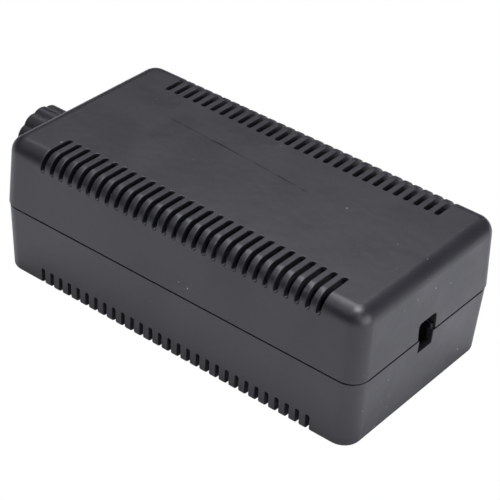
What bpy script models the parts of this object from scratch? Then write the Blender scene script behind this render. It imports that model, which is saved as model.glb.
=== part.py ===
"""Knob-controlled power regulator in a two-part vented plastic case.

Frame: X runs along the case (the cable outlet at +X, the knob at -X), Y across it and Z up. The origin
is the centre of the case's flat underside. All lengths are in metres.
"""

import math

import bmesh
import bpy
from mathutils import Matrix, Vector

MM = 0.001

# Case
CASE_LENGTH = 128.8 * MM
CASE_WIDTH = 67.0 * MM
CASE_HEIGHT = 44.6 * MM
WALL = 2.2 * MM
CORNER_RADIUS = 5.5 * MM
EDGE_RADIUS = 4.7 * MM
LOWER_EDGE_RADIUS = 1.2 * MM
DRAFT_SLOPE = 0.036
LOWER_SET_IN = 0.2 * MM
SEAM_GAP = 0.3 * MM
LIP_THICKNESS = 1.0 * MM
TONGUE_HEIGHT = 1.45 * MM
GAP = 0.3 * MM

# Vent slots
SLOT_PITCH = 3.5 * MM
SLOT_WIDTH = 1.6 * MM
SLOT_REACH = 12.7 * MM
SLOT_DROP = 5.5 * MM
SLOT_ROW_SHIFT = 0.7 * MM
SLOT_POST_CLEARANCE = 1.3 * MM

# Case screws and their posts
SCREW_RADIUS = 1.5 * MM
SCREW_HEAD_RADIUS = 2.8 * MM
SCREW_HEAD_HEIGHT = 2.2 * MM
SCREW_GRIP = 11.4 * MM
POCKET_DEPTH = 6.0 * MM
LOWER_POST_RADIUS = 4.4 * MM
UPPER_POST_RADIUS = 3.5 * MM

# Cable outlet in the +X wall: a wide notch in the upper shell over a narrower one in the lower shell
OUTLET_SHIFT = -0.7 * MM
OUTLET_LOWER_SHIFT = 0.45 * MM
OUTLET_UPPER_WIDTH = 8.4 * MM
OUTLET_UPPER_HEIGHT = 5.6 * MM
OUTLET_LOWER_WIDTH = 6.7 * MM
OUTLET_LOWER_HEIGHT = 4.8 * MM
OUTLET_CHAMFER = 0.8 * MM
GUIDE_THICKNESS = 1.2 * MM
GUIDE_DEPTH = 4.6 * MM

# Circuit board and its fixings
BOARD_THICKNESS = 1.6 * MM
BOARD_SIDE_SPACE = 6.5 * MM
BOARD_BACK_SPACE = 16.4 * MM
STANDOFF_HEIGHT = 4.7 * MM
STANDOFF_RADIUS = 3.0 * MM
STANDOFF_TO_SLOTS = 0.8 * MM
BOARD_SCREW_RADIUS = 1.2 * MM
BOARD_SCREW_HEAD_RADIUS = 2.4 * MM
BOARD_SCREW_HEAD_HEIGHT = 1.6 * MM
BOARD_SCREW_LENGTH = 6.5 * MM
BOARD_SCREW_INSET = 4.0 * MM

# Rotary control, seen from its panel: distances run outwards from the -X wall
SHAFT_RADIUS = 3.0 * MM
SHAFT_CLEARANCE = 0.2 * MM
BUSHING_WALL = 0.5 * MM
BUSHING_OUT = 5.6 * MM
PLATE_RADIUS = 8.3 * MM
PLATE_THICKNESS = 1.2 * MM
WAFER_THICKNESS = 1.2 * MM
POT_DEPTH = 6.4 * MM
POT_SHEET = 0.6 * MM
LUG_PITCH = 5.0 * MM
LUG_LENGTH = 7.0 * MM
LUG_SHEET = 0.5 * MM
WASHER_RIM = 2.3 * MM
WASHER_THICKNESS = 0.6 * MM
NUT_WALL = 1.3 * MM
NUT_THICKNESS = 2.0 * MM

# Knob
KNOB_RADIUS = 11.34 * MM
KNOB_GROOVE_RADIUS = 10.75 * MM
KNOB_LOBES = 13
KNOB_BACK = 0.9 * MM
KNOB_FRONT = 17.0 * MM
KNOB_NUT_CLEARANCE = 1.2 * MM
KNOB_FACE = 2.4 * MM
BUSH_WALL = 1.6 * MM
GRUB_RADIUS = 1.5 * MM

# Power section
HEAT_SINK_LENGTH = 56.0 * MM
HEAT_SINK_HEIGHT = 25.0 * MM
HEAT_SINK_FACE = 8.0 * MM
HEAT_SINK_SIDE_SPACE = 3.0 * MM
HEAT_SINK_BASE = 3.0 * MM
HEAT_SINK_FIN = 1.4 * MM
HEAT_SINK_FINS = 8
DEVICE_PITCH = 13.5 * MM
DEVICE_WIDTH = 10.0 * MM
DEVICE_TAB = 1.3 * MM
PAD_THICKNESS = 0.4 * MM
CAPACITOR_RADIUS = 8.0 * MM
CAPACITOR_HEIGHT = 25.0 * MM
CAPACITOR_SPACE = 2.0 * MM
TERMINAL_WAYS = 4
TERMINAL_PITCH = 9.0 * MM
TERMINAL_DEPTH = 13.0 * MM
TERMINAL_HEIGHT = 12.5 * MM
BARRIER = 1.6 * MM
PLATE_SHEET = 0.8 * MM
FUSE_RADIUS = 3.15 * MM
FUSE_LENGTH = 30.0 * MM
FUSE_CAP = 6.0 * MM
WIRE_RADIUS = 0.7 * MM

# Turns of a screw that is modelled with its point down
POINT_UP = (math.pi, 0.0, 0.0)
POINT_TO_SINK = (math.radians(90.0), 0.0, 0.0)

# Values that follow from those above: the case
SEAM_HEIGHT = CASE_HEIGHT / 2
HALF_LENGTH = CASE_LENGTH / 2
HALF_WIDTH = CASE_WIDTH / 2
SHELL_DEPTH = SEAM_HEIGHT - SEAM_GAP / 2
DRAFT = DRAFT_SLOPE * SEAM_HEIGHT
POCKET_RADIUS = SCREW_HEAD_RADIUS + GAP
POST_INSET = EDGE_RADIUS + DRAFT + LOWER_SET_IN + POCKET_RADIUS + 0.1 * MM
POST_X = HALF_LENGTH - POST_INSET
POST_Y = HALF_WIDTH - POST_INSET
SCREW_LENGTH = SEAM_HEIGHT + SCREW_GRIP - POCKET_DEPTH + GAP
SLOT_SPACE = 2 * (POST_X - LOWER_POST_RADIUS - SLOT_POST_CLEARANCE) + SLOT_ROW_SHIFT
SLOT_COUNT = int((SLOT_SPACE - SLOT_WIDTH) / SLOT_PITCH) + 1

# The board and what stands on it
BOARD_UNDER = WALL + STANDOFF_HEIGHT + GAP
BOARD_TOP = BOARD_UNDER + BOARD_THICKNESS
BOARD_BACK = -HALF_LENGTH + BOARD_BACK_SPACE
BOARD_FRONT = HALF_LENGTH - WALL - GUIDE_DEPTH - GAP
BOARD_HALF_WIDTH = HALF_WIDTH - BOARD_SIDE_SPACE
PARTS_BASE = BOARD_TOP + GAP
TERMINAL_WIDTH = TERMINAL_WAYS * TERMINAL_PITCH + BARRIER
TERMINAL_FRONT = POST_X - LOWER_POST_RADIUS - 2 * GAP
TERMINAL_BACK = TERMINAL_FRONT - TERMINAL_DEPTH
SCREW_BACK_X = BOARD_BACK + BOARD_SCREW_INSET
SCREW_FRONT_X = TERMINAL_BACK - BOARD_SCREW_INSET
BOARD_SCREW_Y = HALF_WIDTH - SLOT_REACH - STANDOFF_RADIUS - STANDOFF_TO_SLOTS
HEAT_SINK_CENTRE = SCREW_FRONT_X - HEAT_SINK_LENGTH / 2 - BOARD_SCREW_INSET
HEAT_SINK_DEPTH = BOARD_HALF_WIDTH - HEAT_SINK_SIDE_SPACE - HEAT_SINK_FACE
CAPACITOR_PITCH = 2 * CAPACITOR_RADIUS + CAPACITOR_SPACE
CAPACITOR_FRONT = SCREW_FRONT_X - BOARD_SCREW_INSET
DEVICE_BACK = HEAT_SINK_FACE - 2 * GAP - PAD_THICKNESS
DEVICE_SCREW_HEAD = DEVICE_BACK - DEVICE_TAB - GAP
DEVICE_SCREW_END = HEAT_SINK_FACE + HEAT_SINK_BASE + 2 * GAP

# The control: heights along its axis, measured outwards from the -X wall
BORE_RADIUS = SHAFT_RADIUS + SHAFT_CLEARANCE
BUSHING_RADIUS = BORE_RADIUS + BUSHING_WALL
WASHER_RADIUS = BUSHING_RADIUS + WASHER_RIM
NUT_ACROSS_FLATS = 2 * (BUSHING_RADIUS + NUT_WALL)
PLATE_FRONT = -WALL - LOWER_SET_IN - DRAFT_SLOPE * PLATE_RADIUS - GAP
PLATE_BACK = PLATE_FRONT - PLATE_THICKNESS
WAFER_FRONT = PLATE_BACK - GAP
WAFER_BACK = WAFER_FRONT - WAFER_THICKNESS
COVER_FRONT = WAFER_BACK - GAP
COVER_BACK = COVER_FRONT - POT_DEPTH
SHAFT_BACK = COVER_BACK + POT_SHEET + GAP
SHAFT_FRONT = KNOB_FRONT - KNOB_FACE - 2 * GAP
WASHER_BACK = GAP
NUT_BACK = WASHER_BACK + WASHER_THICKNESS + GAP
NUT_FRONT = NUT_BACK + NUT_THICKNESS
CLIP_BACK = BUSHING_OUT + GAP
CLIP_FRONT = CLIP_BACK + 0.6 * MM
KNOB_RECESS_RADIUS = WASHER_RADIUS + KNOB_NUT_CLEARANCE
RECESS_FLOOR = CLIP_FRONT + GAP
BUSH_RADIUS = BORE_RADIUS + BUSH_WALL
BUSH_BACK = RECESS_FLOOR + GAP
BUSH_FRONT = KNOB_FRONT - KNOB_FACE - GAP


# ---------------------------------------------------------------- scene and objects


def clear_scene():
    for obj in list(bpy.data.objects):
        bpy.data.objects.remove(obj, do_unlink=True)


def make_material(name, color, roughness, metallic=0.0):
    material = bpy.data.materials.new(name)
    material.use_nodes = True
    shader = material.node_tree.nodes["Principled BSDF"]
    shader.inputs["Base Color"].default_value = (*color, 1.0)
    shader.inputs["Roughness"].default_value = roughness
    shader.inputs["Metallic"].default_value = metallic
    return material


def make_materials():
    return {
        "case": make_material("case_plastic", (0.055, 0.055, 0.060), 0.45),
        "knob": make_material("knob_plastic", (0.045, 0.045, 0.050), 0.35),
        "steel": make_material("zinc_steel", (0.66, 0.66, 0.68), 0.30, 1.0),
        "brass": make_material("turned_brass", (0.80, 0.62, 0.30), 0.28, 1.0),
        "aluminium": make_material("extruded_aluminium", (0.72, 0.73, 0.75), 0.35, 1.0),
        "wafer": make_material("phenolic_wafer", (0.26, 0.13, 0.06), 0.55),
        "board": make_material("board_laminate", (0.02, 0.16, 0.07), 0.40),
        "epoxy": make_material("black_epoxy", (0.03, 0.03, 0.03), 0.50),
        "sleeve": make_material("capacitor_sleeve", (0.02, 0.03, 0.10), 0.30),
        "terminal": make_material("terminal_green", (0.04, 0.30, 0.12), 0.45),
        "nylon": make_material("white_nylon", (0.80, 0.79, 0.74), 0.45),
        "pad": make_material("silicone_pad", (0.50, 0.52, 0.56), 0.70),
        "film": make_material("film_capacitor_red", (0.45, 0.06, 0.03), 0.40),
        "glass": make_material("clear_glass", (0.85, 0.90, 0.90), 0.05),
        "red": make_material("red_insulation", (0.55, 0.03, 0.03), 0.40),
        "yellow": make_material("yellow_insulation", (0.75, 0.55, 0.04), 0.40),
        "black": make_material("black_insulation", (0.03, 0.03, 0.03), 0.40),
    }


def place(name, bm, material, location=(0.0, 0.0, 0.0), parent=None):
    """Turns a bmesh into a smooth-shaded object."""
    bmesh.ops.remove_doubles(bm, verts=bm.verts, dist=1e-7)
    bmesh.ops.recalc_face_normals(bm, faces=bm.faces)
    mesh = bpy.data.meshes.new(name)
    bm.to_mesh(mesh)
    bm.free()
    mesh.shade_smooth()
    mesh.set_sharp_from_angle(angle=math.radians(35))
    mesh.materials.append(material)
    obj = bpy.data.objects.new(name, mesh)
    obj.location = location
    obj.parent = parent
    bpy.context.scene.collection.objects.link(obj)
    return obj


def place_copies(name, bm, material, spots, turn=(0.0, 0.0, 0.0), parent=None):
    """Places one numbered object at each spot; they share one mesh."""
    first = place(name + "_1", bm, material, spots[0], parent)
    first.rotation_euler = turn
    copies = [first]
    for index, spot in enumerate(spots[1:], start=2):
        copy = bpy.data.objects.new(f"{name}_{index}", first.data)
        copy.location = spot
        copy.rotation_euler = turn
        copy.parent = parent
        bpy.context.scene.collection.objects.link(copy)
        copies.append(copy)
    return copies


def combine(target, operation, name, bm):
    """Adds a Boolean to the target with a hidden helper that shares the target's placing."""
    helper = place(name, bm, target.data.materials[0], target.location, target.parent)
    helper.rotation_euler = target.rotation_euler
    helper.hide_render = True
    helper.display_type = "WIRE"
    modifier = target.modifiers.new(name, "BOOLEAN")
    modifier.operation = operation
    modifier.solver = "EXACT"
    modifier.object = helper
    return target


# ---------------------------------------------------------------- shapes


def add_box(bm, low, high):
    low = Vector(low)
    high = Vector(high)
    matrix = Matrix.Translation((low + high) / 2) @ Matrix.Diagonal((*(high - low), 1.0))
    bmesh.ops.create_cube(bm, size=1.0, matrix=matrix)


def add_prism(bm, outline, axis, start, end):
    """Extrudes a closed outline along an axis; the outline's pairs fill the other two axes in order."""
    others = [index for index in range(3) if index != axis]
    points = []
    for pair in outline:
        point = Vector((0.0, 0.0, 0.0))
        point[axis] = start
        point[others[0]] = pair[0]
        point[others[1]] = pair[1]
        points.append(point)
    face = bm.faces.new([bm.verts.new(point) for point in points])
    moved = bmesh.ops.extrude_face_region(bm, geom=[face])
    shift = Vector((0.0, 0.0, 0.0))
    shift[axis] = end - start
    corners = [item for item in moved["geom"] if isinstance(item, bmesh.types.BMVert)]
    bmesh.ops.translate(bm, verts=corners, vec=shift)


def add_turned(bm, profile, segments, matrix=None, is_ring=False):
    """Spins a profile of (radius, height) pairs about Z; a ring's profile is a closed loop off the axis."""
    verts = [bm.verts.new((radius, 0.0, height)) for radius, height in profile]
    ends = verts[1:] + verts[:1] if is_ring else verts[1:]
    edges = [bm.edges.new(pair) for pair in zip(verts, ends)]
    before = set(bm.verts) - set(verts)
    bmesh.ops.spin(
        bm,
        geom=verts + edges,
        cent=(0.0, 0.0, 0.0),
        axis=(0.0, 0.0, 1.0),
        angle=math.tau,
        steps=segments,
        use_merge=True,
    )
    made = [vert for vert in bm.verts if vert not in before]
    bmesh.ops.remove_doubles(bm, verts=made, dist=1e-7)
    if matrix is not None:
        made = [vert for vert in bm.verts if vert not in before]
        bmesh.ops.transform(bm, matrix=matrix, verts=made)


def add_rod(bm, centre, radius, low, high, segments=16):
    """A plain round bar along Z."""
    profile = [(0.0, low), (radius, low), (radius, high), (0.0, high)]
    add_turned(bm, profile, segments, Matrix.Translation((centre[0], centre[1], 0.0)))


def add_loops(bm, loops):
    """Joins equal rings of points into one closed solid, with a flat cap on its first and last ring."""
    rings = [[bm.verts.new(point) for point in loop] for loop in loops]
    for near, far in zip(rings, rings[1:]):
        for index in range(len(near)):
            after = (index + 1) % len(near)
            bm.faces.new((near[index], near[after], far[after], far[index]))
    bm.faces.new(rings[0])
    bm.faces.new(rings[-1])


def rounded_rectangle(half_x, half_y, radius, height, segments=4):
    points = []
    for corner, (side_x, side_y) in enumerate(((1, 1), (-1, 1), (-1, -1), (1, -1))):
        centre = Vector((side_x * (half_x - radius), side_y * (half_y - radius), height))
        for step in range(segments + 1):
            angle = math.radians(90.0) * (corner + step / segments)
            points.append(centre + Vector((math.cos(angle), math.sin(angle), 0.0)) * radius)
    return points


def arc_pairs(centre, radius, start_degrees, end_degrees, segments):
    pairs = []
    for step in range(segments + 1):
        angle = math.radians(start_degrees + (end_degrees - start_degrees) * step / segments)
        pairs.append((centre[0] + radius * math.cos(angle), centre[1] + radius * math.sin(angle)))
    return pairs


def smooth_route(points, spacing):
    """Even points on a Catmull-Rom curve through the given ones."""
    points = [Vector(point) for point in points]
    padded = [2 * points[0] - points[1], *points, 2 * points[-1] - points[-2]]
    route = []
    for before, start, end, after in zip(padded, padded[1:], padded[2:], padded[3:]):
        steps = max(2, round((end - start).length / spacing))
        for step in range(steps):
            t = step / steps
            route.append(
                0.5
                * (
                    2 * start
                    + (end - before) * t
                    + (2 * before - 5 * start + 4 * end - after) * t**2
                    + (3 * start - before - 3 * end + after) * t**3
                )
            )
    route.append(points[-1])
    return route


# ---------------------------------------------------------------- case


def shell_loops(to_height, set_in, edge_radius, rim):
    """Rings of one half of the case, from the middle of its outer face round the rim to its inner face.

    to_height turns a depth under the outer face into a height; rim lists (inset, depth) of the edge.
    """
    loops = []

    def ring(inset, corner, depth):
        drafted = set_in + inset + DRAFT_SLOPE * (SEAM_HEIGHT - depth)
        loops.append(
            rounded_rectangle(HALF_LENGTH - drafted, HALF_WIDTH - drafted, corner, to_height(depth))
        )

    inner_corner = CORNER_RADIUS - WALL
    inner_edge = EDGE_RADIUS - WALL
    for step in range(5):
        angle = math.radians(90.0) * step / 4
        inset = edge_radius * (1 - math.sin(angle))
        ring(inset, CORNER_RADIUS - inset, edge_radius * (1 - math.cos(angle)))
    for inset, depth in rim:
        ring(inset, CORNER_RADIUS - inset, depth)
    for step in range(3):
        angle = math.radians(90.0) * (1 - step / 2)
        inset = inner_edge * (1 - math.sin(angle))
        ring(WALL + inset, inner_corner - inset, WALL + inner_edge * (1 - math.cos(angle)))
    return loops


def add_slots(bm, low, high):
    """Cutters of both slot rows: open at the sides of the case, round at their inner ends."""
    inner = HALF_WIDTH - SLOT_REACH + SLOT_WIDTH / 2
    outer = HALF_WIDTH + WALL
    for side in (-1, 1):
        for index in range(SLOT_COUNT):
            x = SLOT_ROW_SHIFT + (index - (SLOT_COUNT - 1) / 2) * SLOT_PITCH
            outline = [(x - SLOT_WIDTH / 2, outer), (x + SLOT_WIDTH / 2, outer)]
            end = arc_pairs((x, inner), SLOT_WIDTH / 2, 0.0, -180.0, 3)
            outline = [(pair[0], side * pair[1]) for pair in outline[::-1] + end[::-1]]
            add_prism(bm, outline, 2, low, high)


def outlet_outline(upper_only):
    """The outlet's stepped outline in Y and Z; the lower notch starts at the seam."""
    middle = OUTLET_SHIFT
    half_upper = OUTLET_UPPER_WIDTH / 2
    half_lower = OUTLET_LOWER_WIDTH / 2
    top = SEAM_HEIGHT + OUTLET_UPPER_HEIGHT
    outline = [
        (middle + half_upper, SEAM_HEIGHT - SEAM_GAP / 2),
        (middle + half_upper, top - OUTLET_CHAMFER),
        (middle + half_upper - OUTLET_CHAMFER, top),
        (middle - half_upper + OUTLET_CHAMFER, top),
        (middle - half_upper, top - OUTLET_CHAMFER),
        (middle - half_upper, SEAM_HEIGHT - SEAM_GAP / 2),
    ]
    if upper_only:
        return outline
    bottom = SEAM_HEIGHT - OUTLET_LOWER_HEIGHT
    lower_middle = middle + OUTLET_LOWER_SHIFT
    return outline + [
        (lower_middle - half_lower, SEAM_HEIGHT - SEAM_GAP / 2),
        (lower_middle - half_lower, bottom),
        (lower_middle + half_lower, bottom),
        (lower_middle + half_lower, SEAM_HEIGHT - SEAM_GAP / 2),
    ]


def post_places():
    return [(side_x * POST_X, side_y * POST_Y) for side_x in (-1, 1) for side_y in (-1, 1)]


def board_screw_places():
    return [(x, side * BOARD_SCREW_Y) for x in (SCREW_BACK_X, SCREW_FRONT_X) for side in (-1, 1)]


def add_wall_holes(bm, outline):
    """Cutters of the control's hole in the -X wall and of the outlet in the +X wall."""
    reach = WALL + DRAFT + 2 * MM
    hole = [(0.0, -reach), (BUSHING_RADIUS + GAP, -reach), (BUSHING_RADIUS + GAP, reach), (0.0, reach)]
    turn = Matrix.Rotation(math.radians(90.0), 4, "Y")
    add_turned(bm, hole, 24, Matrix.Translation((-HALF_LENGTH, 0.0, SEAM_HEIGHT)) @ turn)
    add_prism(bm, outline, 0, HALF_LENGTH - reach, HALF_LENGTH + reach)


def make_bottom_shell(materials):
    tongue = LIP_THICKNESS + GAP - LOWER_SET_IN
    rim = [
        (0.0, SHELL_DEPTH),
        (tongue, SHELL_DEPTH),
        (tongue, SHELL_DEPTH + TONGUE_HEIGHT),
        (WALL, SHELL_DEPTH + TONGUE_HEIGHT),
    ]
    bm = bmesh.new()
    add_loops(bm, shell_loops(lambda depth: depth, LOWER_SET_IN, LOWER_EDGE_RADIUS, rim))
    shell = place("bottom_shell", bm, materials["case"])

    bm = bmesh.new()
    embed = WALL / 2
    for post in post_places():
        add_rod(bm, post, LOWER_POST_RADIUS, embed, SHELL_DEPTH)
    for spot in board_screw_places():
        add_rod(bm, spot, STANDOFF_RADIUS, embed, WALL + STANDOFF_HEIGHT)
    guide_front = HALF_LENGTH - DRAFT - WALL / 2
    guide_back = HALF_LENGTH - WALL - GUIDE_DEPTH
    for side in (-1, 1):
        near = OUTLET_SHIFT + side * (OUTLET_UPPER_WIDTH / 2 + 2 * GAP)
        far = near + side * GUIDE_THICKNESS
        low = (guide_back, min(near, far), EDGE_RADIUS)
        add_box(bm, low, (guide_front, max(near, far), SHELL_DEPTH))
    combine(shell, "UNION", "bottom_posts", bm)

    bm = bmesh.new()
    add_slots(bm, -WALL, SLOT_DROP)
    combine(shell, "DIFFERENCE", "bottom_slots", bm)

    bm = bmesh.new()
    shank_hole = SCREW_RADIUS + GAP
    for post in post_places():
        profile = [
            (0.0, -WALL),
            (POCKET_RADIUS, -WALL),
            (POCKET_RADIUS, POCKET_DEPTH),
            (shank_hole, POCKET_DEPTH),
            (shank_hole, SEAM_HEIGHT + WALL),
            (0.0, SEAM_HEIGHT + WALL),
        ]
        add_turned(bm, profile, 16, Matrix.Translation((*post, 0.0)))
    for spot in board_screw_places():
        add_rod(bm, spot, BOARD_SCREW_RADIUS + GAP, WALL, BOARD_TOP, 12)
    add_wall_holes(bm, outlet_outline(upper_only=False))
    combine(shell, "DIFFERENCE", "bottom_holes", bm)


def make_top_shell(materials):
    rim = [
        (0.0, SHELL_DEPTH),
        (LIP_THICKNESS, SHELL_DEPTH),
        (LIP_THICKNESS, SHELL_DEPTH - TONGUE_HEIGHT),
        (WALL, SHELL_DEPTH - TONGUE_HEIGHT),
    ]
    bm = bmesh.new()
    add_loops(bm, shell_loops(lambda depth: CASE_HEIGHT - depth, 0.0, EDGE_RADIUS, rim))
    shell = place("top_shell", bm, materials["case"])

    bm = bmesh.new()
    for post in post_places():
        add_rod(bm, post, UPPER_POST_RADIUS, SEAM_HEIGHT + SEAM_GAP / 2, CASE_HEIGHT - WALL / 2)
    combine(shell, "UNION", "top_posts", bm)

    bm = bmesh.new()
    add_slots(bm, CASE_HEIGHT - SLOT_DROP, CASE_HEIGHT + WALL)
    combine(shell, "DIFFERENCE", "top_slots", bm)

    bm = bmesh.new()
    bore_top = SEAM_HEIGHT + SCREW_GRIP + 1.0 * MM
    for post in post_places():
        add_rod(bm, post, SCREW_RADIUS + GAP, SEAM_HEIGHT - WALL, bore_top)
    add_wall_holes(bm, outlet_outline(upper_only=True))
    combine(shell, "DIFFERENCE", "top_holes", bm)


def add_pan_screw(bm, head_radius, head_height, radius, length):
    """A pan-head screw along Z, its point down and the underside of its head at height 0."""
    chamfer = head_height * 0.35
    profile = [
        (0.0, head_height),
        (head_radius - chamfer, head_height),
        (head_radius, head_height - chamfer),
        (head_radius, 0.0),
        (radius, 0.0),
        (radius, -length),
        (0.0, -length),
    ]
    add_turned(bm, profile, 10)


def make_case_screws(materials):
    bm = bmesh.new()
    add_pan_screw(bm, SCREW_HEAD_RADIUS, SCREW_HEAD_HEIGHT, SCREW_RADIUS, SCREW_LENGTH)
    spots = [(*post, POCKET_DEPTH - GAP) for post in post_places()]
    place_copies("case_screw", bm, materials["steel"], spots, POINT_UP)


# ---------------------------------------------------------------- rotary control


def make_control_axis():
    """An empty on the control's axis at the -X wall. Its own Z points out of the case, its X points up."""
    axis = bpy.data.objects.new("control_axis", None)
    axis.location = (-HALF_LENGTH, 0.0, SEAM_HEIGHT)
    axis.rotation_euler = (0.0, math.radians(-90.0), 0.0)
    bpy.context.scene.collection.objects.link(axis)
    return axis


def washer_profile(inner, outer, low, high):
    return [(inner, low), (outer, low), (outer, high), (inner, high)]


def knob_ring(offset, height):
    """The fluted outline: convex lobes that meet in sharp grooves, drawn in by the offset."""
    half_angle = math.pi / KNOB_LOBES
    half_chord = KNOB_GROOVE_RADIUS * math.sin(half_angle)
    rise = KNOB_RADIUS - KNOB_GROOVE_RADIUS * math.cos(half_angle)
    lobe_radius = (half_chord**2 + rise**2) / (2 * rise)
    lobe_centre = KNOB_RADIUS - lobe_radius
    half_sweep = math.asin(half_chord / lobe_radius)
    steps = 3
    points = []
    for lobe in range(KNOB_LOBES):
        middle = lobe * 2 * half_angle
        for step in range(steps):
            sweep = half_sweep * (2 * step / steps - 1)
            x = lobe_centre + lobe_radius * math.cos(sweep)
            y = lobe_radius * math.sin(sweep)
            length = math.hypot(x, y) - offset
            angle = middle + math.atan2(y, x)
            points.append(Vector((length * math.cos(angle), length * math.sin(angle), height)))
    return points


def round_ring(like, radius, height):
    return [Vector((point.x, point.y, 0.0)).normalized() * radius + Vector((0, 0, height)) for point in like]


def make_knob(materials, axis):
    bevel = 0.8 * MM
    edge = knob_ring(0.0, KNOB_BACK)
    dish = KNOB_GROOVE_RADIUS - 2.0 * MM
    bush_hole = BUSH_RADIUS + GAP
    loops = [
        round_ring(edge, dish - 0.5 * MM, KNOB_FRONT - 0.5 * MM),
        round_ring(edge, dish, KNOB_FRONT),
        knob_ring(bevel, KNOB_FRONT),
        knob_ring(bevel * 0.3, KNOB_FRONT - bevel * 0.3),
        knob_ring(0.0, KNOB_FRONT - bevel),
        edge,
        round_ring(edge, KNOB_RECESS_RADIUS, KNOB_BACK),
        round_ring(edge, KNOB_RECESS_RADIUS, RECESS_FLOOR),
        round_ring(edge, bush_hole, RECESS_FLOOR),
        round_ring(edge, bush_hole, KNOB_FRONT - KNOB_FACE),
    ]
    bm = bmesh.new()
    add_loops(bm, loops)
    knob = place("control_knob", bm, materials["knob"], parent=axis)
    grub_height = (BUSH_BACK + BUSH_FRONT) / 2
    down = Matrix.Translation((0.0, 0.0, grub_height)) @ Matrix.Rotation(math.radians(-90.0), 4, "Y")

    bm = bmesh.new()
    reach = KNOB_RADIUS + WALL
    hole = GRUB_RADIUS + GAP
    middle = (SHAFT_RADIUS + BUSH_RADIUS) / 2
    add_turned(bm, [(0.0, middle), (hole, middle), (hole, reach), (0.0, reach)], 12, down)
    combine(knob, "DIFFERENCE", "knob_grub_hole", bm)

    bm = bmesh.new()
    add_turned(bm, washer_profile(BORE_RADIUS, BUSH_RADIUS, BUSH_BACK, BUSH_FRONT), 20, is_ring=True)
    bush = place("knob_bush", bm, materials["brass"], parent=axis)
    bm = bmesh.new()
    add_turned(bm, [(0.0, SHAFT_RADIUS), (hole, SHAFT_RADIUS), (hole, reach), (0.0, reach)], 12, down)
    combine(bush, "DIFFERENCE", "bush_grub_hole", bm)

    tip = SHAFT_RADIUS + GAP
    head = KNOB_GROOVE_RADIUS - 2.2 * MM
    socket = GRUB_RADIUS * 0.55
    profile = [
        (0.0, tip),
        (GRUB_RADIUS * 0.7, tip),
        (GRUB_RADIUS, tip + GRUB_RADIUS * 0.3),
        (GRUB_RADIUS, head),
        (socket, head),
        (socket, head - 1.5 * MM),
        (0.0, head - 1.5 * MM),
    ]
    bm = bmesh.new()
    add_turned(bm, profile, 12, down)
    place("knob_grub_screw", bm, materials["steel"], parent=axis)


def make_shaft(materials, axis):
    groove = SHAFT_RADIUS - 0.6 * MM
    chamfer = 0.5 * MM
    profile = [
        (0.0, SHAFT_BACK),
        (SHAFT_RADIUS, SHAFT_BACK),
        (SHAFT_RADIUS, CLIP_BACK - GAP / 2),
        (groove, CLIP_BACK - GAP / 2),
        (groove, CLIP_FRONT + GAP / 2),
        (SHAFT_RADIUS, CLIP_FRONT + GAP / 2),
        (SHAFT_RADIUS, SHAFT_FRONT - chamfer),
        (SHAFT_RADIUS - chamfer, SHAFT_FRONT),
        (0.0, SHAFT_FRONT),
    ]
    bm = bmesh.new()
    add_turned(bm, profile, 20)
    place("pot_shaft", bm, materials["aluminium"], parent=axis)

    mouth = 0.35
    outer = arc_pairs((0.0, 0.0), SHAFT_RADIUS + 1.0 * MM, math.degrees(mouth), 360 - math.degrees(mouth), 14)
    inner = arc_pairs((0.0, 0.0), groove + GAP / 2, 360 - math.degrees(mouth), math.degrees(mouth), 14)
    bm = bmesh.new()
    add_prism(bm, outer + inner, 2, CLIP_BACK, CLIP_FRONT)
    place("shaft_clip", bm, materials["steel"], parent=axis)


def make_bushing(materials, axis):
    profile = [
        (BORE_RADIUS, PLATE_BACK),
        (PLATE_RADIUS, PLATE_BACK),
        (PLATE_RADIUS, PLATE_FRONT),
        (BUSHING_RADIUS, PLATE_FRONT),
        (BUSHING_RADIUS, BUSHING_OUT - 0.4 * MM),
        (BUSHING_RADIUS - 0.3 * MM, BUSHING_OUT),
        (BORE_RADIUS, BUSHING_OUT),
    ]
    bm = bmesh.new()
    add_turned(bm, profile, 24, is_ring=True)
    place("pot_bushing", bm, materials["brass"], parent=axis)

    bm = bmesh.new()
    profile = washer_profile(
        BUSHING_RADIUS + GAP, WASHER_RADIUS, WASHER_BACK, WASHER_BACK + WASHER_THICKNESS
    )
    add_turned(bm, profile, 24, is_ring=True)
    place("pot_washer", bm, materials["steel"], parent=axis)

    circle = arc_pairs((0.0, 0.0), BUSHING_RADIUS + GAP, 0.0, 360.0 * 23 / 24, 23)
    loops = []
    corner = NUT_ACROSS_FLATS / math.sqrt(3)
    for radius_scale, height in ((1.0, NUT_BACK), (1.0, NUT_FRONT)):
        ring = []
        for x, y in circle:
            turn = math.atan2(y, x) % math.radians(60.0) - math.radians(30.0)
            radius = radius_scale * corner * math.cos(math.radians(30.0)) / math.cos(turn)
            ring.append(Vector((x, y, 0.0)).normalized() * radius + Vector((0.0, 0.0, height)))
        loops.append(ring)
    bore = [Vector((x, y, NUT_FRONT)) for x, y in circle]
    bore_back = [Vector((x, y, NUT_BACK)) for x, y in circle]
    bm = bmesh.new()
    add_ring_of_loops(bm, [*loops, bore, bore_back])
    place("pot_nut", bm, materials["steel"], parent=axis)


def add_ring_of_loops(bm, loops):
    """Joins equal rings of points, the last one back to the first, into one closed ring."""
    rings = [[bm.verts.new(point) for point in loop] for loop in loops]
    for near, far in zip(rings, rings[1:] + rings[:1]):
        for index in range(len(near)):
            after = (index + 1) % len(near)
            bm.faces.new((near[index], near[after], far[after], far[index]))


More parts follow.
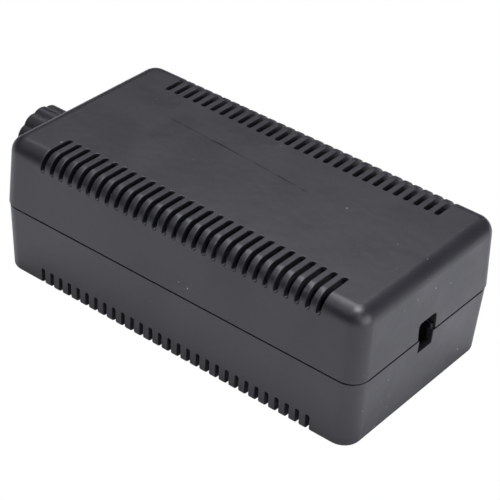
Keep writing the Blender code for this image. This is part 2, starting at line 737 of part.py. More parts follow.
def make_pot(materials, axis):
    cover_inner = PLATE_RADIUS - POT_SHEET
    profile = [
        (0.0, COVER_BACK),
        (PLATE_RADIUS - POT_SHEET, COVER_BACK),
        (PLATE_RADIUS, COVER_BACK + POT_SHEET),
        (PLATE_RADIUS, COVER_FRONT),
        (cover_inner, COVER_FRONT),
        (cover_inner, COVER_BACK + POT_SHEET),
        (0.0, COVER_BACK + POT_SHEET),
    ]
    bm = bmesh.new()
    add_turned(bm, profile, 24)
    place("pot_body", bm, materials["steel"], parent=axis)

    # The wafer is a disc with a tongue that points down and carries the lugs.
    tongue_half = LUG_PITCH + 2.0 * MM
    tongue_end = PLATE_RADIUS + 3.6 * MM
    start = math.degrees(math.asin(tongue_half / PLATE_RADIUS))
    disc = arc_pairs((0.0, 0.0), PLATE_RADIUS, 180.0 + start, 540.0 - start, 18)
    outline = disc + [(-tongue_end, tongue_half), (-tongue_end, -tongue_half)]
    bm = bmesh.new()
    add_prism(bm, outline, 2, WAFER_BACK, WAFER_FRONT)
    wafer = place("pot_track", bm, materials["wafer"], parent=axis)
    bm = bmesh.new()
    hole = SHAFT_RADIUS + 2 * GAP
    reach = WAFER_THICKNESS
    add_turned(
        bm,
        [(0.0, WAFER_BACK - reach), (hole, WAFER_BACK - reach), (hole, reach), (0.0, reach)],
        20,
    )
    combine(wafer, "DIFFERENCE", "pot_track_hole", bm)

    lug_back = COVER_FRONT - LUG_SHEET
    top = -PLATE_RADIUS - GAP
    shoulder = top - LUG_LENGTH * 0.4
    tip = top - LUG_LENGTH
    wide = 1.2 * MM
    narrow = 0.7 * MM
    outline = [(top, -wide), (top, wide), (shoulder, wide), (tip, narrow), (tip, -narrow), (shoulder, -wide)]
    bm = bmesh.new()
    add_prism(bm, outline, 2, lug_back, COVER_FRONT)
    spots = [(0.0, index * LUG_PITCH, 0.0) for index in (-1, 0, 1)]
    place_copies("pot_lug", bm, materials["steel"], spots, parent=axis)

    # The wiper turns with the shaft: a disc with a spring finger that bears near the track.
    wiper_front = WAFER_BACK - 4 * GAP
    wiper_back = wiper_front - 1.6 * MM
    profile = washer_profile(SHAFT_RADIUS + GAP, PLATE_RADIUS - POT_SHEET - 1.6 * MM, wiper_back, wiper_front)
    bm = bmesh.new()
    add_turned(bm, profile, 20, is_ring=True)
    wiper = place("pot_wiper", bm, materials["nylon"], parent=axis)
    finger = SHAFT_RADIUS + 2 * GAP
    bm = bmesh.new()
    add_box(bm, (finger, -MM, wiper_front - MM), (finger + 1.6 * MM, MM, WAFER_BACK - GAP))
    combine(wiper, "UNION", "pot_wiper_finger", bm)


# ---------------------------------------------------------------- board and electronics


def make_board(materials):
    half = BOARD_HALF_WIDTH
    notch_x = POST_X - LOWER_POST_RADIUS - 2 * GAP
    notch_y = POST_Y - LOWER_POST_RADIUS - 2 * GAP
    outline = [
        (BOARD_BACK, -half),
        (notch_x, -half),
        (notch_x, -notch_y),
        (BOARD_FRONT, -notch_y),
        (BOARD_FRONT, notch_y),
        (notch_x, notch_y),
        (notch_x, half),
        (BOARD_BACK, half),
    ]
    bm = bmesh.new()
    add_prism(bm, outline, 2, BOARD_UNDER, BOARD_TOP)
    board = place("circuit_board", bm, materials["board"])
    bm = bmesh.new()
    for spot in board_screw_places():
        add_rod(bm, spot, BOARD_SCREW_RADIUS + GAP, BOARD_UNDER - MM, BOARD_TOP + MM, 12)
    combine(board, "DIFFERENCE", "board_holes", bm)

    bm = bmesh.new()
    add_pan_screw(
        bm,
        BOARD_SCREW_HEAD_RADIUS,
        BOARD_SCREW_HEAD_HEIGHT,
        BOARD_SCREW_RADIUS,
        BOARD_SCREW_LENGTH,
    )
    spots = [(*spot, BOARD_TOP + GAP) for spot in board_screw_places()]
    place_copies("board_screw", bm, materials["steel"], spots)


def device_places():
    start = HEAT_SINK_CENTRE - 1.5 * DEVICE_PITCH
    return [start + index * DEVICE_PITCH for index in range(4)]


def device_screw_height():
    return PARTS_BASE + 18.6 * MM


def make_heat_sink(materials):
    left = HEAT_SINK_CENTRE - HEAT_SINK_LENGTH / 2
    right = HEAT_SINK_CENTRE + HEAT_SINK_LENGTH / 2
    base_back = HEAT_SINK_FACE + HEAT_SINK_BASE
    tip = HEAT_SINK_FACE + HEAT_SINK_DEPTH
    step = (HEAT_SINK_LENGTH - HEAT_SINK_FIN) / (HEAT_SINK_FINS - 1)
    outline = [(left, HEAT_SINK_FACE), (right, HEAT_SINK_FACE)]
    for index in reversed(range(HEAT_SINK_FINS)):
        start = left + index * step
        end = start + HEAT_SINK_FIN
        if index < HEAT_SINK_FINS - 1:
            outline.append((end, base_back))
        outline.append((end, tip))
        outline.append((start, tip))
        if index > 0:
            outline.append((start, base_back))
    bm = bmesh.new()
    add_prism(bm, outline, 2, PARTS_BASE, PARTS_BASE + HEAT_SINK_HEIGHT)
    sink = place("heat_sink", bm, materials["aluminium"])
    turn = Matrix.Rotation(math.radians(-90.0), 4, "X")
    hole = SCREW_RADIUS + GAP
    bm = bmesh.new()
    for x in device_places():
        base = Matrix.Translation((x, 0.0, device_screw_height())) @ turn
        end = DEVICE_SCREW_END + 2 * GAP
        start = HEAT_SINK_FACE - MM
        add_turned(bm, [(0.0, start), (hole, start), (hole, end), (0.0, end)], 12, base)
    combine(sink, "DIFFERENCE", "heat_sink_holes", bm)

    pad_front = HEAT_SINK_FACE - GAP
    pad_back = DEVICE_BACK + GAP
    low = (left + MM, pad_back, PARTS_BASE + 5 * MM)
    high = (right - MM, pad_front, PARTS_BASE + HEAT_SINK_HEIGHT - MM)
    bm = bmesh.new()
    add_box(bm, low, high)
    pad = place("insulating_pad", bm, materials["pad"])
    bm = bmesh.new()
    for x in device_places():
        base = Matrix.Translation((x, 0.0, device_screw_height())) @ turn
        start = pad_back - MM
        end = pad_front + MM
        add_turned(bm, [(0.0, start), (hole, start), (hole, end), (0.0, end)], 12, base)
    combine(pad, "DIFFERENCE", "pad_holes", bm)


def make_power_device(name, x, legs, materials):
    """A flat power package: metal tab, moulded body and legs that end just over the board."""
    half = DEVICE_WIDTH / 2
    foot = PARTS_BASE
    body_low = foot + 5.6 * MM
    body_high = body_low + 9.0 * MM
    tab_high = body_low + 15.6 * MM
    side = [
        (DEVICE_BACK, body_low),
        (DEVICE_BACK, tab_high),
        (DEVICE_BACK - DEVICE_TAB, tab_high),
        (DEVICE_BACK - DEVICE_TAB, body_high),
        (DEVICE_BACK - 4.2 * MM, body_high - 0.5 * MM),
        (DEVICE_BACK - 4.5 * MM, body_low + 0.3 * MM),
        (DEVICE_BACK - 4.5 * MM, body_low),
    ]
    bm = bmesh.new()
    add_prism(bm, side, 0, x - half, x + half)
    device = place(name, bm, materials["epoxy"])

    bm = bmesh.new()
    leg_y = DEVICE_BACK - 2.4 * MM
    for index in legs:
        middle = x + index * 2.54 * MM
        low = (middle - 0.4 * MM, leg_y - 0.25 * MM, foot)
        add_box(bm, low, (middle + 0.4 * MM, leg_y + 0.25 * MM, body_low + MM))
    combine(device, "UNION", name + "_legs", bm)

    turn = Matrix.Rotation(math.radians(-90.0), 4, "X")
    hole = SCREW_RADIUS + GAP
    start = DEVICE_BACK - 2.5 * MM
    end = DEVICE_BACK + MM
    bm = bmesh.new()
    base = Matrix.Translation((x, 0.0, device_screw_height())) @ turn
    add_turned(bm, [(0.0, start), (hole, start), (hole, end), (0.0, end)], 12, base)
    combine(device, "DIFFERENCE", name + "_hole", bm)


def make_power_section(materials):
    make_heat_sink(materials)
    places = device_places()
    for index, x in enumerate(places[:3]):
        make_power_device(f"mosfet_{index + 1}", x, (-1, 0, 1), materials)
    make_power_device("flyback_diode", places[3], (-1, 1), materials)

    bm = bmesh.new()
    add_pan_screw(bm, 2.7 * MM, 2.0 * MM, SCREW_RADIUS, DEVICE_SCREW_END - DEVICE_SCREW_HEAD)
    spots = [(x, DEVICE_SCREW_HEAD, device_screw_height()) for x in places]
    place_copies("device_screw", bm, materials["steel"], spots, POINT_TO_SINK)


def make_capacitors(materials):
    for index in range(3):
        x = CAPACITOR_FRONT - CAPACITOR_RADIUS - index * CAPACITOR_PITCH
        top = PARTS_BASE + CAPACITOR_HEIGHT
        edge = 0.6 * MM
        profile = [
            (0.0, PARTS_BASE),
            (CAPACITOR_RADIUS - edge, PARTS_BASE),
            (CAPACITOR_RADIUS, PARTS_BASE + edge),
            (CAPACITOR_RADIUS, top - edge),
            (CAPACITOR_RADIUS - edge, top),
            (0.0, top),
        ]
        bm = bmesh.new()
        add_turned(bm, profile, 20, Matrix.Translation((x, -CAPACITOR_RADIUS, 0.0)))
        place(f"capacitor_{index + 1}", bm, materials["sleeve"])


def make_terminal_block(materials):
    floor = PARTS_BASE + 5.0 * MM
    top = PARTS_BASE + TERMINAL_HEIGHT
    start = -TERMINAL_WIDTH / 2
    outline = [(start, PARTS_BASE), (start, top)]
    for way in range(TERMINAL_WAYS):
        open_from = start + BARRIER + way * TERMINAL_PITCH
        open_to = start + (way + 1) * TERMINAL_PITCH
        outline += [(open_from, top), (open_from, floor), (open_to, floor), (open_to, top)]
    outline += [(-start, top), (-start, PARTS_BASE)]
    bm = bmesh.new()
    add_prism(bm, outline, 0, TERMINAL_BACK, TERMINAL_FRONT)
    block = place("terminal_block", bm, materials["terminal"])

    middle_x = (TERMINAL_BACK + TERMINAL_FRONT) / 2
    ways = [start + BARRIER / 2 + (way + 0.5) * TERMINAL_PITCH for way in range(TERMINAL_WAYS)]
    plate_top = floor + GAP + PLATE_SHEET
    hole = SCREW_RADIUS + GAP
    bm = bmesh.new()
    for y in ways:
        add_rod(bm, (middle_x, y), hole, PARTS_BASE + MM, top, 12)
    combine(block, "DIFFERENCE", "terminal_bores", bm)

    half_x = TERMINAL_DEPTH / 2 - MM
    half_y = (TERMINAL_PITCH - BARRIER) / 2 - GAP
    plates = bmesh.new()
    add_box(plates, (-half_x, -half_y, -PLATE_SHEET), (half_x, half_y, 0.0))
    spots = [(middle_x, y, plate_top) for y in ways]
    for index, plate in enumerate(place_copies("terminal_plate", plates, materials["brass"], spots)):
        bm = bmesh.new()
        add_rod(bm, (0.0, 0.0), hole, -2 * PLATE_SHEET, PLATE_SHEET, 12)
        combine(plate, "DIFFERENCE", f"terminal_plate_hole_{index + 1}", bm)

    bm = bmesh.new()
    add_pan_screw(bm, 2.8 * MM, 2.2 * MM, SCREW_RADIUS, 4.6 * MM)
    spots = [(middle_x, y, plate_top + GAP) for y in ways]
    place_copies("terminal_screw", bm, materials["steel"], spots)


def make_fuse(materials):
    """A cartridge fuse along X: a glass tube between two caps, each cap held in a springy clip."""
    x = HEAT_SINK_CENTRE
    y = -2 * CAPACITOR_RADIUS - FUSE_RADIUS - 2.6 * MM
    z = PARTS_BASE + FUSE_RADIUS + 2.0 * MM
    half = FUSE_LENGTH / 2
    sheet = 0.4 * MM
    to_x = Matrix.Rotation(math.radians(90.0), 4, "Y")
    profile = [
        (0.0, half),
        (FUSE_RADIUS, half),
        (FUSE_RADIUS, half - FUSE_CAP),
        (FUSE_RADIUS - sheet, half - FUSE_CAP),
        (FUSE_RADIUS - sheet, half - sheet),
        (0.0, half - sheet),
    ]
    for number, flip in ((1, 0.0), (2, math.pi)):
        bm = bmesh.new()
        add_turned(bm, profile, 16, Matrix.Rotation(flip, 4, "Z") @ to_x)
        place(f"fuse_cap_{number}", bm, materials["steel"], (x, y, z))

    outer = FUSE_RADIUS - sheet - GAP
    reach = half - sheet - GAP
    bm = bmesh.new()
    add_turned(bm, washer_profile(outer - 0.6 * MM, outer, -reach, reach), 16, to_x, is_ring=True)
    place("fuse_glass", bm, materials["glass"], (x, y, z))

    inner = FUSE_RADIUS + GAP
    strip = 0.5 * MM
    half_clip = 2.2 * MM
    jaws = arc_pairs((0.0, 0.0), inner + strip, 40.0, -220.0, 14)
    jaws += arc_pairs((0.0, 0.0), inner, -220.0, 40.0, 14)
    bm = bmesh.new()
    add_prism(bm, jaws, 0, -half_clip, half_clip)
    spots = [(x + side * (half - FUSE_CAP / 2), y, z) for side in (-1, 1)]
    for clip in place_copies("fuse_clip", bm, materials["brass"], spots):
        bm = bmesh.new()
        foot = PARTS_BASE - z
        add_box(bm, (-1.8 * MM, -1.6 * MM, foot), (1.8 * MM, 1.6 * MM, -inner - strip / 2))
        combine(clip, "UNION", clip.name + "_foot", bm)


def make_control_electronics(materials):
    # Eight-legged control chip
    chip_x = BOARD_BACK + 15.0 * MM
    chip_y = 13.0 * MM
    low = (chip_x - 4.9 * MM, chip_y - 3.2 * MM, PARTS_BASE + 0.6 * MM)
    bm = bmesh.new()
    add_box(bm, low, (chip_x + 4.9 * MM, chip_y + 3.2 * MM, PARTS_BASE + 4.0 * MM))
    chip = place("control_chip", bm, materials["epoxy"])
    bm = bmesh.new()
    for side in (-1, 1):
        for index in range(4):
            x = chip_x + (index - 1.5) * 2.54 * MM
            inner = chip_y + side * 2.8 * MM
            bend = chip_y + side * 3.8 * MM
            outer = chip_y + side * 4.1 * MM
            outline = [
                (inner, PARTS_BASE + 2.5 * MM),
                (outer, PARTS_BASE + 2.5 * MM),
                (outer, PARTS_BASE),
                (bend, PARTS_BASE),
                (bend, PARTS_BASE + 2.2 * MM),
                (inner, PARTS_BASE + 2.2 * MM),
            ]
            add_prism(bm, outline, 0, x - 0.6 * MM, x + 0.6 * MM)
    combine(chip, "UNION", "control_chip_legs", bm)

    # Supply regulator, standing free
    x = BOARD_BACK + 13.5 * MM
    y = -12.0 * MM
    foot = PARTS_BASE
    side = [
        (y, foot + 3.0 * MM),
        (y, foot + 18.0 * MM),
        (y - 1.3 * MM, foot + 18.0 * MM),
        (y - 1.3 * MM, foot + 12.0 * MM),
        (y - 4.2 * MM, foot + 11.5 * MM),
        (y - 4.5 * MM, foot + 3.0 * MM),
    ]
    bm = bmesh.new()
    add_prism(bm, side, 0, x - DEVICE_WIDTH / 2, x + DEVICE_WIDTH / 2)
    regulator = place("voltage_regulator", bm, materials["epoxy"])
    bm = bmesh.new()
    for index in (-1, 0, 1):
        middle = x + index * 2.54 * MM
        low = (middle - 0.4 * MM, y - 2.7 * MM, foot)
        add_box(bm, low, (middle + 0.4 * MM, y - 2.2 * MM, foot + 4.0 * MM))
    combine(regulator, "UNION", "voltage_regulator_legs", bm)

    # Boxed film capacitor
    x = BOARD_BACK + 15.0 * MM
    y = -22.0 * MM
    bm = bmesh.new()
    low = (x - 6.5 * MM, y - 2.5 * MM, PARTS_BASE)
    add_box(bm, low, (x + 6.5 * MM, y + 2.5 * MM, PARTS_BASE + 11.0 * MM))
    bmesh.ops.bevel(
        bm,
        geom=bm.edges[:],
        offset=0.5 * MM,
        segments=1,
        profile=0.5,
        affect="EDGES",
        material=-1,
    )
    place("film_capacitor", bm, materials["film"])


def make_pot_leads(materials):
    """The header, the plug on it, and the three leads that run to it from the control's lugs."""
    header_x = BOARD_BACK + 7.0 * MM
    bm = bmesh.new()
    outline = [
        (header_x - 2.8 * MM, PARTS_BASE),
        (header_x + 2.8 * MM, PARTS_BASE),
        (header_x + 2.8 * MM, PARTS_BASE + 5.0 * MM),
        (header_x + 2.0 * MM, PARTS_BASE + 5.0 * MM),
        (header_x + 2.0 * MM, PARTS_BASE + 1.4 * MM),
        (header_x - 2.8 * MM, PARTS_BASE + 1.4 * MM),
    ]
    add_prism(bm, outline, 1, -4.6 * MM, 4.6 * MM)
    place("pot_header", bm, materials["nylon"])

    plug_low = PARTS_BASE + 1.4 * MM + GAP
    plug_top = plug_low + 7.0 * MM
    bm = bmesh.new()
    add_box(bm, (header_x - 2.6 * MM, -4.4 * MM, plug_low), (header_x + 2.0 * MM - GAP, 4.4 * MM, plug_top))
    bmesh.ops.bevel(
        bm,
        geom=bm.edges[:],
        offset=0.3 * MM,
        segments=1,
        profile=0.5,
        affect="EDGES",
        material=-1,
    )
    place("pot_plug", bm, materials["nylon"])

    lug_x = -HALF_LENGTH - COVER_FRONT + LUG_SHEET + GAP
    lug_z = SEAM_HEIGHT - PLATE_RADIUS - GAP - LUG_LENGTH * 0.55
    plug_x = header_x - 0.4 * MM
    for index, color in ((-1, "red"), (0, "yellow"), (1, "black")):
        y = index * LUG_PITCH
        end_y = index * 2.54 * MM
        points = [
            (lug_x, y, lug_z),
            (lug_x + 2.0 * MM, y, lug_z),
            (lug_x + 5.5 * MM, y * 0.95, lug_z + 2.5 * MM),
            (lug_x + 9.0 * MM, y * 0.8, lug_z + 9.0 * MM),
            (plug_x - 3.0 * MM, end_y * 1.1, plug_top + 5.4 * MM),
            (plug_x - 0.5 * MM, end_y, plug_top + 4.2 * MM),
            (plug_x, end_y, plug_top + 2.0 * MM),
            (plug_x, end_y, plug_top + GAP),
        ]
        curve = bpy.data.curves.new("pot_wire_" + color, "CURVE")
        curve.dimensions = "3D"
        curve.bevel_depth = WIRE_RADIUS
        curve.bevel_resolution = 2
        curve.use_fill_caps = True
        route = smooth_route(points, 2.4 * MM)
        spline = curve.splines.new("POLY")
        spline.points.add(len(route) - 1)
        for point, spot in zip(spline.points, route):
            point.co = (*spot, 1.0)
        curve.materials.append(materials[color])
        wire = bpy.data.objects.new("pot_wire_" + color, curve)
        bpy.context.scene.collection.objects.link(wire)


def main():
    clear_scene()
    materials = make_materials()
    make_bottom_shell(materials)
    make_top_shell(materials)
    make_case_screws(materials)
    axis = make_control_axis()
    make_knob(materials, axis)
    make_shaft(materials, axis)
    make_bushing(materials, axis)
    make_pot(materials, axis)
    make_board(materials)
    make_power_section(materials)
    make_capacitors(materials)
    make_terminal_block(materials)
    make_fuse(materials)
    make_control_electronics(materials)
    make_pot_leads(materials)


main()
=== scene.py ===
"""Looks of a knob-controlled power regulator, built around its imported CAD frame.

Every piece stays in the CAD frame: metres, +Z up, the case standing on Z = 0, the control knob on the
-X wall and the cable outlet in the +X wall.
"""

import logging
import math
from dataclasses import dataclass, field, replace
from enum import Enum

import bmesh
import bpy
from mathutils import Matrix, Vector


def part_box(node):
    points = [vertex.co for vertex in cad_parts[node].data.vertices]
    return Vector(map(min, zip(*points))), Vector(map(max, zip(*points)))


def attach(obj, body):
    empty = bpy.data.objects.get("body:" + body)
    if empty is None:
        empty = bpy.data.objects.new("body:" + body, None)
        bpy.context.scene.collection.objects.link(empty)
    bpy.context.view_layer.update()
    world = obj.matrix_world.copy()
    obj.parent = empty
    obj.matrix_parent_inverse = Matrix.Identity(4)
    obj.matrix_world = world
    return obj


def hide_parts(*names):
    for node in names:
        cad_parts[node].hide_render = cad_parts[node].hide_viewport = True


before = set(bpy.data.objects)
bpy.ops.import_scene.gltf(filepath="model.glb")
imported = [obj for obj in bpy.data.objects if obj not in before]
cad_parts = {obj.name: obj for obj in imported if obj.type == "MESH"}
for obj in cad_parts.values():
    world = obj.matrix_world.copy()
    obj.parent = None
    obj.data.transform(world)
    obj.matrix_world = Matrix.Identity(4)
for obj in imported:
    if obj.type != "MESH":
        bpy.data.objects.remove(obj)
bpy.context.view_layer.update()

MM = 0.001
TINY = 1e-6
QUARTER = math.radians(90.0)
SCREW_NUMBERS = (1, 2, 3, 4)
LOG = logging.getLogger("regulator")

Pair = tuple[float, float]
Triple = tuple[float, float, float]
Colour = tuple[float, float, float]


# ---------------------------------------------------------------- mesh tools


def edges_of(verts: list[bmesh.types.BMVert]) -> list[bmesh.types.BMEdge]:
    """Finds every edge that touches the given corners.

    Args:
        verts: Corners of one shape.

    Returns:
        Their edges, each once, in the order of the corners.
    """
    return list(dict.fromkeys(edge for vert in verts for edge in vert.link_edges))


def round_edges(
    bm: bmesh.types.BMesh, edges: list[bmesh.types.BMEdge], radius: float, segments: int
) -> None:
    """Rounds edges to a radius.

    Args:
        bm: Mesh that holds the edges.
        edges: Edges to round.
        radius: Radius of the round.
        segments: Flats along the round.
    """
    bmesh.ops.bevel(
        bm,
        geom=edges,
        offset=radius,
        offset_type="OFFSET",
        segments=segments,
        profile=0.5,
        affect="EDGES",
        material=-1,
        clamp_overlap=False,
    )


def add_block(bm: bmesh.types.BMesh, low: Triple, high: Triple) -> list[bmesh.types.BMVert]:
    """Adds a box between two corners.

    Args:
        bm: Mesh that receives the box.
        low: Lowest corner.
        high: Highest corner.

    Returns:
        The box's eight corners.
    """
    start, end = Vector(low), Vector(high)
    matrix = Matrix.Translation((start + end) / 2) @ Matrix.Diagonal((*(end - start), 1.0))
    return bmesh.ops.create_cube(bm, size=1.0, matrix=matrix)["verts"]


def add_rod(
    bm: bmesh.types.BMesh, centre: Pair, radius: float, low: float, high: float, segments: int = 32
) -> list[bmesh.types.BMVert]:
    """Adds an upright round bar.

    Args:
        bm: Mesh that receives the bar.
        centre: Place of its axis in X and Y.
        radius: Radius of the bar.
        low: Height of its foot.
        high: Height of its top.
        segments: Flats round the bar.

    Returns:
        The bar's corners.
    """
    return bmesh.ops.create_cone(
        bm,
        cap_ends=True,
        segments=segments,
        radius1=radius,
        radius2=radius,
        depth=high - low,
        matrix=Matrix.Translation((*centre, (low + high) / 2)),
    )["verts"]


def add_spun(
    bm: bmesh.types.BMesh,
    profile: list[Pair],
    segments: int,
    matrix: Matrix | None = None,
    is_ring: bool = False,
) -> None:
    """Spins a profile about Z into a closed turned shape.

    Args:
        bm: Mesh that receives the shape.
        profile: Pairs of radius and height; a plain shape starts and ends on the axis.
        segments: Steps of the spin.
        matrix: Where the shape goes, from its own axis.
        is_ring: Whether the profile is a closed loop off the axis.
    """
    turned = bmesh.new()
    verts = [turned.verts.new((radius, 0.0, height)) for radius, height in profile]
    ends = verts[1:] + verts[:1] if is_ring else verts[1:]
    edges = [turned.edges.new(pair) for pair in zip(verts, ends)]
    bmesh.ops.spin(
        turned,
        geom=verts + edges,
        cent=(0.0, 0.0, 0.0),
        axis=(0.0, 0.0, 1.0),
        angle=math.tau,
        steps=segments,
        use_merge=True,
    )
    bmesh.ops.remove_doubles(turned, verts=turned.verts, dist=TINY)
    bmesh.ops.recalc_face_normals(turned, faces=turned.faces)
    bmesh.ops.transform(turned, matrix=matrix or Matrix.Identity(4), verts=turned.verts)
    mesh = bpy.data.meshes.new("turned")
    turned.to_mesh(mesh)
    turned.free()
    bm.from_mesh(mesh)
    bpy.data.meshes.remove(mesh)


def extruded(
    bm: bmesh.types.BMesh, outline: list[Triple], shift: Triple
) -> list[bmesh.types.BMFace]:
    """Extrudes one flat outline into a solid.

    Args:
        bm: Mesh that receives the solid.
        outline: Corners of the outline, in order.
        shift: Way and length of the extrusion.

    Returns:
        The solid's faces.
    """
    before = set(bm.faces)
    face = bm.faces.new([bm.verts.new(point) for point in outline])
    moved = bmesh.ops.extrude_face_region(bm, geom=[face])["geom"]
    corners = [item for item in moved if isinstance(item, bmesh.types.BMVert)]
    bmesh.ops.translate(bm, verts=corners, vec=shift)
    faces = [face for face in bm.faces if face not in before]
    bmesh.ops.recalc_face_normals(bm, faces=faces)
    return faces


def as_object(name: str, bm: bmesh.types.BMesh) -> bpy.types.Object:
    """Turns a finished bmesh into an object at the origin and frees it.

    Args:
        name: Name of the object and of its mesh.
        bm: Closed shapes, already in place.

    Returns:
        The linked object.
    """
    bmesh.ops.recalc_face_normals(bm, faces=bm.faces)
    for face in bm.faces:
        face.smooth = True
    mesh = bpy.data.meshes.new(name)
    bm.to_mesh(mesh)
    bm.free()
    obj = bpy.data.objects.new(name, mesh)
    bpy.context.scene.collection.objects.link(obj)
    return obj


def settle(obj: bpy.types.Object) -> bpy.types.Object:
    """Makes an object's modifiers part of its mesh.

    Args:
        obj: Object with modifiers.

    Returns:
        The same object with a plain mesh.
    """
    bpy.context.view_layer.update()
    evaluated = obj.evaluated_get(bpy.context.evaluated_depsgraph_get())
    raw = obj.data
    obj.data = bpy.data.meshes.new_from_object(evaluated)
    obj.modifiers.clear()
    obj.data.name = obj.name
    bpy.data.meshes.remove(raw)
    return obj


class Join(Enum):
    """How a second solid is joined to a piece."""

    ADD = "UNION"
    CUT = "DIFFERENCE"


def combine(target: bpy.types.Object, bm: bmesh.types.BMesh, join: Join) -> None:
    """Adds solids to a piece, or cuts them out of it.

    Args:
        target: Piece that changes.
        bm: Closed solids, freed here.
        join: Whether they are added or cut.
    """
    tool = as_object("tool", bm)
    modifier = target.modifiers.new("join", "BOOLEAN")
    modifier.operation = join.value
    modifier.solver = "EXACT"
    modifier.object = tool
    settle(target)
    raw = tool.data
    bpy.data.objects.remove(tool)
    bpy.data.meshes.remove(raw)


def soften(obj: bpy.types.Object, width: float, segments: int = 2, angle: float = 35.0) -> None:
    """Breaks a piece's sharp edges with a small round, and keeps its flats flat.

    Args:
        obj: Piece to finish.
        width: Width of the round.
        segments: Flats along it.
        angle: Edges sharper than this, in degrees, are rounded.
    """
    weld = obj.modifiers.new("weld", "WELD")
    weld.merge_threshold = 4e-6
    bevel = obj.modifiers.new("rounds", "BEVEL")
    bevel.width = width
    bevel.segments = segments
    bevel.limit_method = "ANGLE"
    bevel.angle_limit = math.radians(angle)
    bevel.use_clamp_overlap = False
    normals = obj.modifiers.new("normals", "WEIGHTED_NORMAL")
    normals.mode = "FACE_AREA"
    normals.weight = 50
    normals.keep_sharp = True
    settle(obj)


def dress(
    obj: bpy.types.Object, material: bpy.types.Material, body: str, slot: str, *nodes: str
) -> bpy.types.Object:
    """Gives a new piece its finish and its body, and hides the CAD nodes that it stands for.

    Args:
        obj: The new piece.
        material: Its finish.
        body: CAD body that it moves with.
        slot: Name of a material slot of the record; not used.
        nodes: CAD nodes that it stands for.

    Returns:
        The same piece.
    """
    obj.data.materials.clear()
    obj.data.materials.append(material)
    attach(obj, body)
    if nodes:
        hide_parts(*nodes)
    LOG.info("%s: %d faces, rides on %s", obj.name, len(obj.data.polygons), body)
    return obj


def axis_of(box: tuple[Vector, Vector]) -> Pair:
    """Finds a piece's upright axis in X and Y, from the two corners of its box."""
    low, high = box
    return (low.x + high.x) / 2, (low.y + high.y) / 2


# ---------------------------------------------------------------- shader groups


class Graph:
    """Adds nodes to one node tree and links them."""

    def __init__(self, tree: bpy.types.NodeTree) -> None:
        """Keeps the tree that the nodes go into."""
        self.tree = tree

    def node(self, kind: str, inputs: dict | None = None, **settings: object) -> bpy.types.Node:
        """Adds one node.

        Args:
            kind: Type of the node.
            inputs: Socket names or numbers, each with a constant or a socket to link from.
            settings: Properties of the node.

        Returns:
            The new node.
        """
        node = self.tree.nodes.new(kind)
        for key, value in settings.items():
            setattr(node, key, value)
        for key, value in (inputs or {}).items():
            if isinstance(value, bpy.types.NodeSocket):
                self.tree.links.new(value, node.inputs[key])
            else:
                node.inputs[key].default_value = value
        return node

    def math(
        self, operation: str, first: object, second: object = 0.0, third: object = 0.0
    ) -> bpy.types.NodeSocket:
        """Adds a Math node and returns its result."""
        inputs = {0: first, 1: second, 2: third}
        return self.node("ShaderNodeMath", inputs, operation=operation).outputs[0]

    def ramp(self, value: object, low: float, high: float, start: float, end: float) -> bpy.types.NodeSocket:
        """Maps a value from one range to another, smoothly and clamped.

        Args:
            value: Socket to map.
            low: Value that gives start.
            high: Value that gives end.
            start: Result at low.
            end: Result at high.

        Returns:
            The mapped value.
        """
        inputs = {"Value": value, "From Min": low, "From Max": high, "To Min": start, "To Max": end}
        node = self.node("ShaderNodeMapRange", inputs, interpolation_type="SMOOTHSTEP")
        return node.outputs["Result"]

    def mix(self, factor: object, first: object, second: object) -> bpy.types.NodeSocket:
        """Mixes two colours and returns the result."""
        node = self.node("ShaderNodeMix", data_type="RGBA")
        for socket, value in ((0, factor), (6, first), (7, second)):
            if isinstance(value, bpy.types.NodeSocket):
                self.tree.links.new(value, node.inputs[socket])
            elif socket:
                node.inputs[socket].default_value = (*value, 1.0)
            else:
                node.inputs[socket].default_value = value
        return node.outputs[2]

    def bump(
        self, height: object, depth: float, under: bpy.types.NodeSocket | None = None
    ) -> bpy.types.NodeSocket:
        """Turns a height map into a normal.

        Args:
            height: Socket with the height, from 0 to about 1.
            depth: What a height of 1 stands for, in metres.
            under: Normal that this one is laid over.

        Returns:
            The new normal.
        """
        inputs = {"Strength": 1.0, "Distance": depth, "Height": height}
        if under is not None:
            inputs["Normal"] = under
        return self.node("ShaderNodeBump", inputs).outputs["Normal"]

    def feed(self, shader: bpy.types.Node, **sockets: bpy.types.NodeSocket) -> None:
        """Links sockets to a shader's inputs, named with underscores for spaces."""
        for label, socket in sockets.items():
            self.tree.links.new(socket, shader.inputs[label.replace("_", " ")])


def new_group(name: str, inputs: dict[str, float], outputs: list[str]) -> tuple[Graph, dict, dict]:
    """Makes an empty shader group with number inputs and outputs.

    Args:
        name: Name of the group.
        inputs: Input names and their defaults.
        outputs: Output names.

    Returns:
        The group's graph, its input sockets and its output sockets, by name.
    """
    tree = bpy.data.node_groups.new(name, "ShaderNodeTree")
    for label, default in inputs.items():
        socket = tree.interface.new_socket(label, in_out="INPUT", socket_type="NodeSocketFloat")
        socket.default_value = default
    for label in outputs:
        tree.interface.new_socket(label, in_out="OUTPUT", socket_type="NodeSocketFloat")
    graph = Graph(tree)
    ways_in = graph.node("NodeGroupInput").outputs
    ways_out = graph.node("NodeGroupOutput").inputs
    return graph, {label: ways_in[label] for label in inputs}, {label: ways_out[label] for label in outputs}


class Effect(Enum):
    """Surface effects that several finishes share."""

    GRAIN = "moulded_grain"
    RIPPLE = "sink_ripple"
    DUST = "dust_specks"
    BLOTCH = "handling_blotches"
    WEAR = "edge_wear"
    BRUSHED = "brushed_lines"


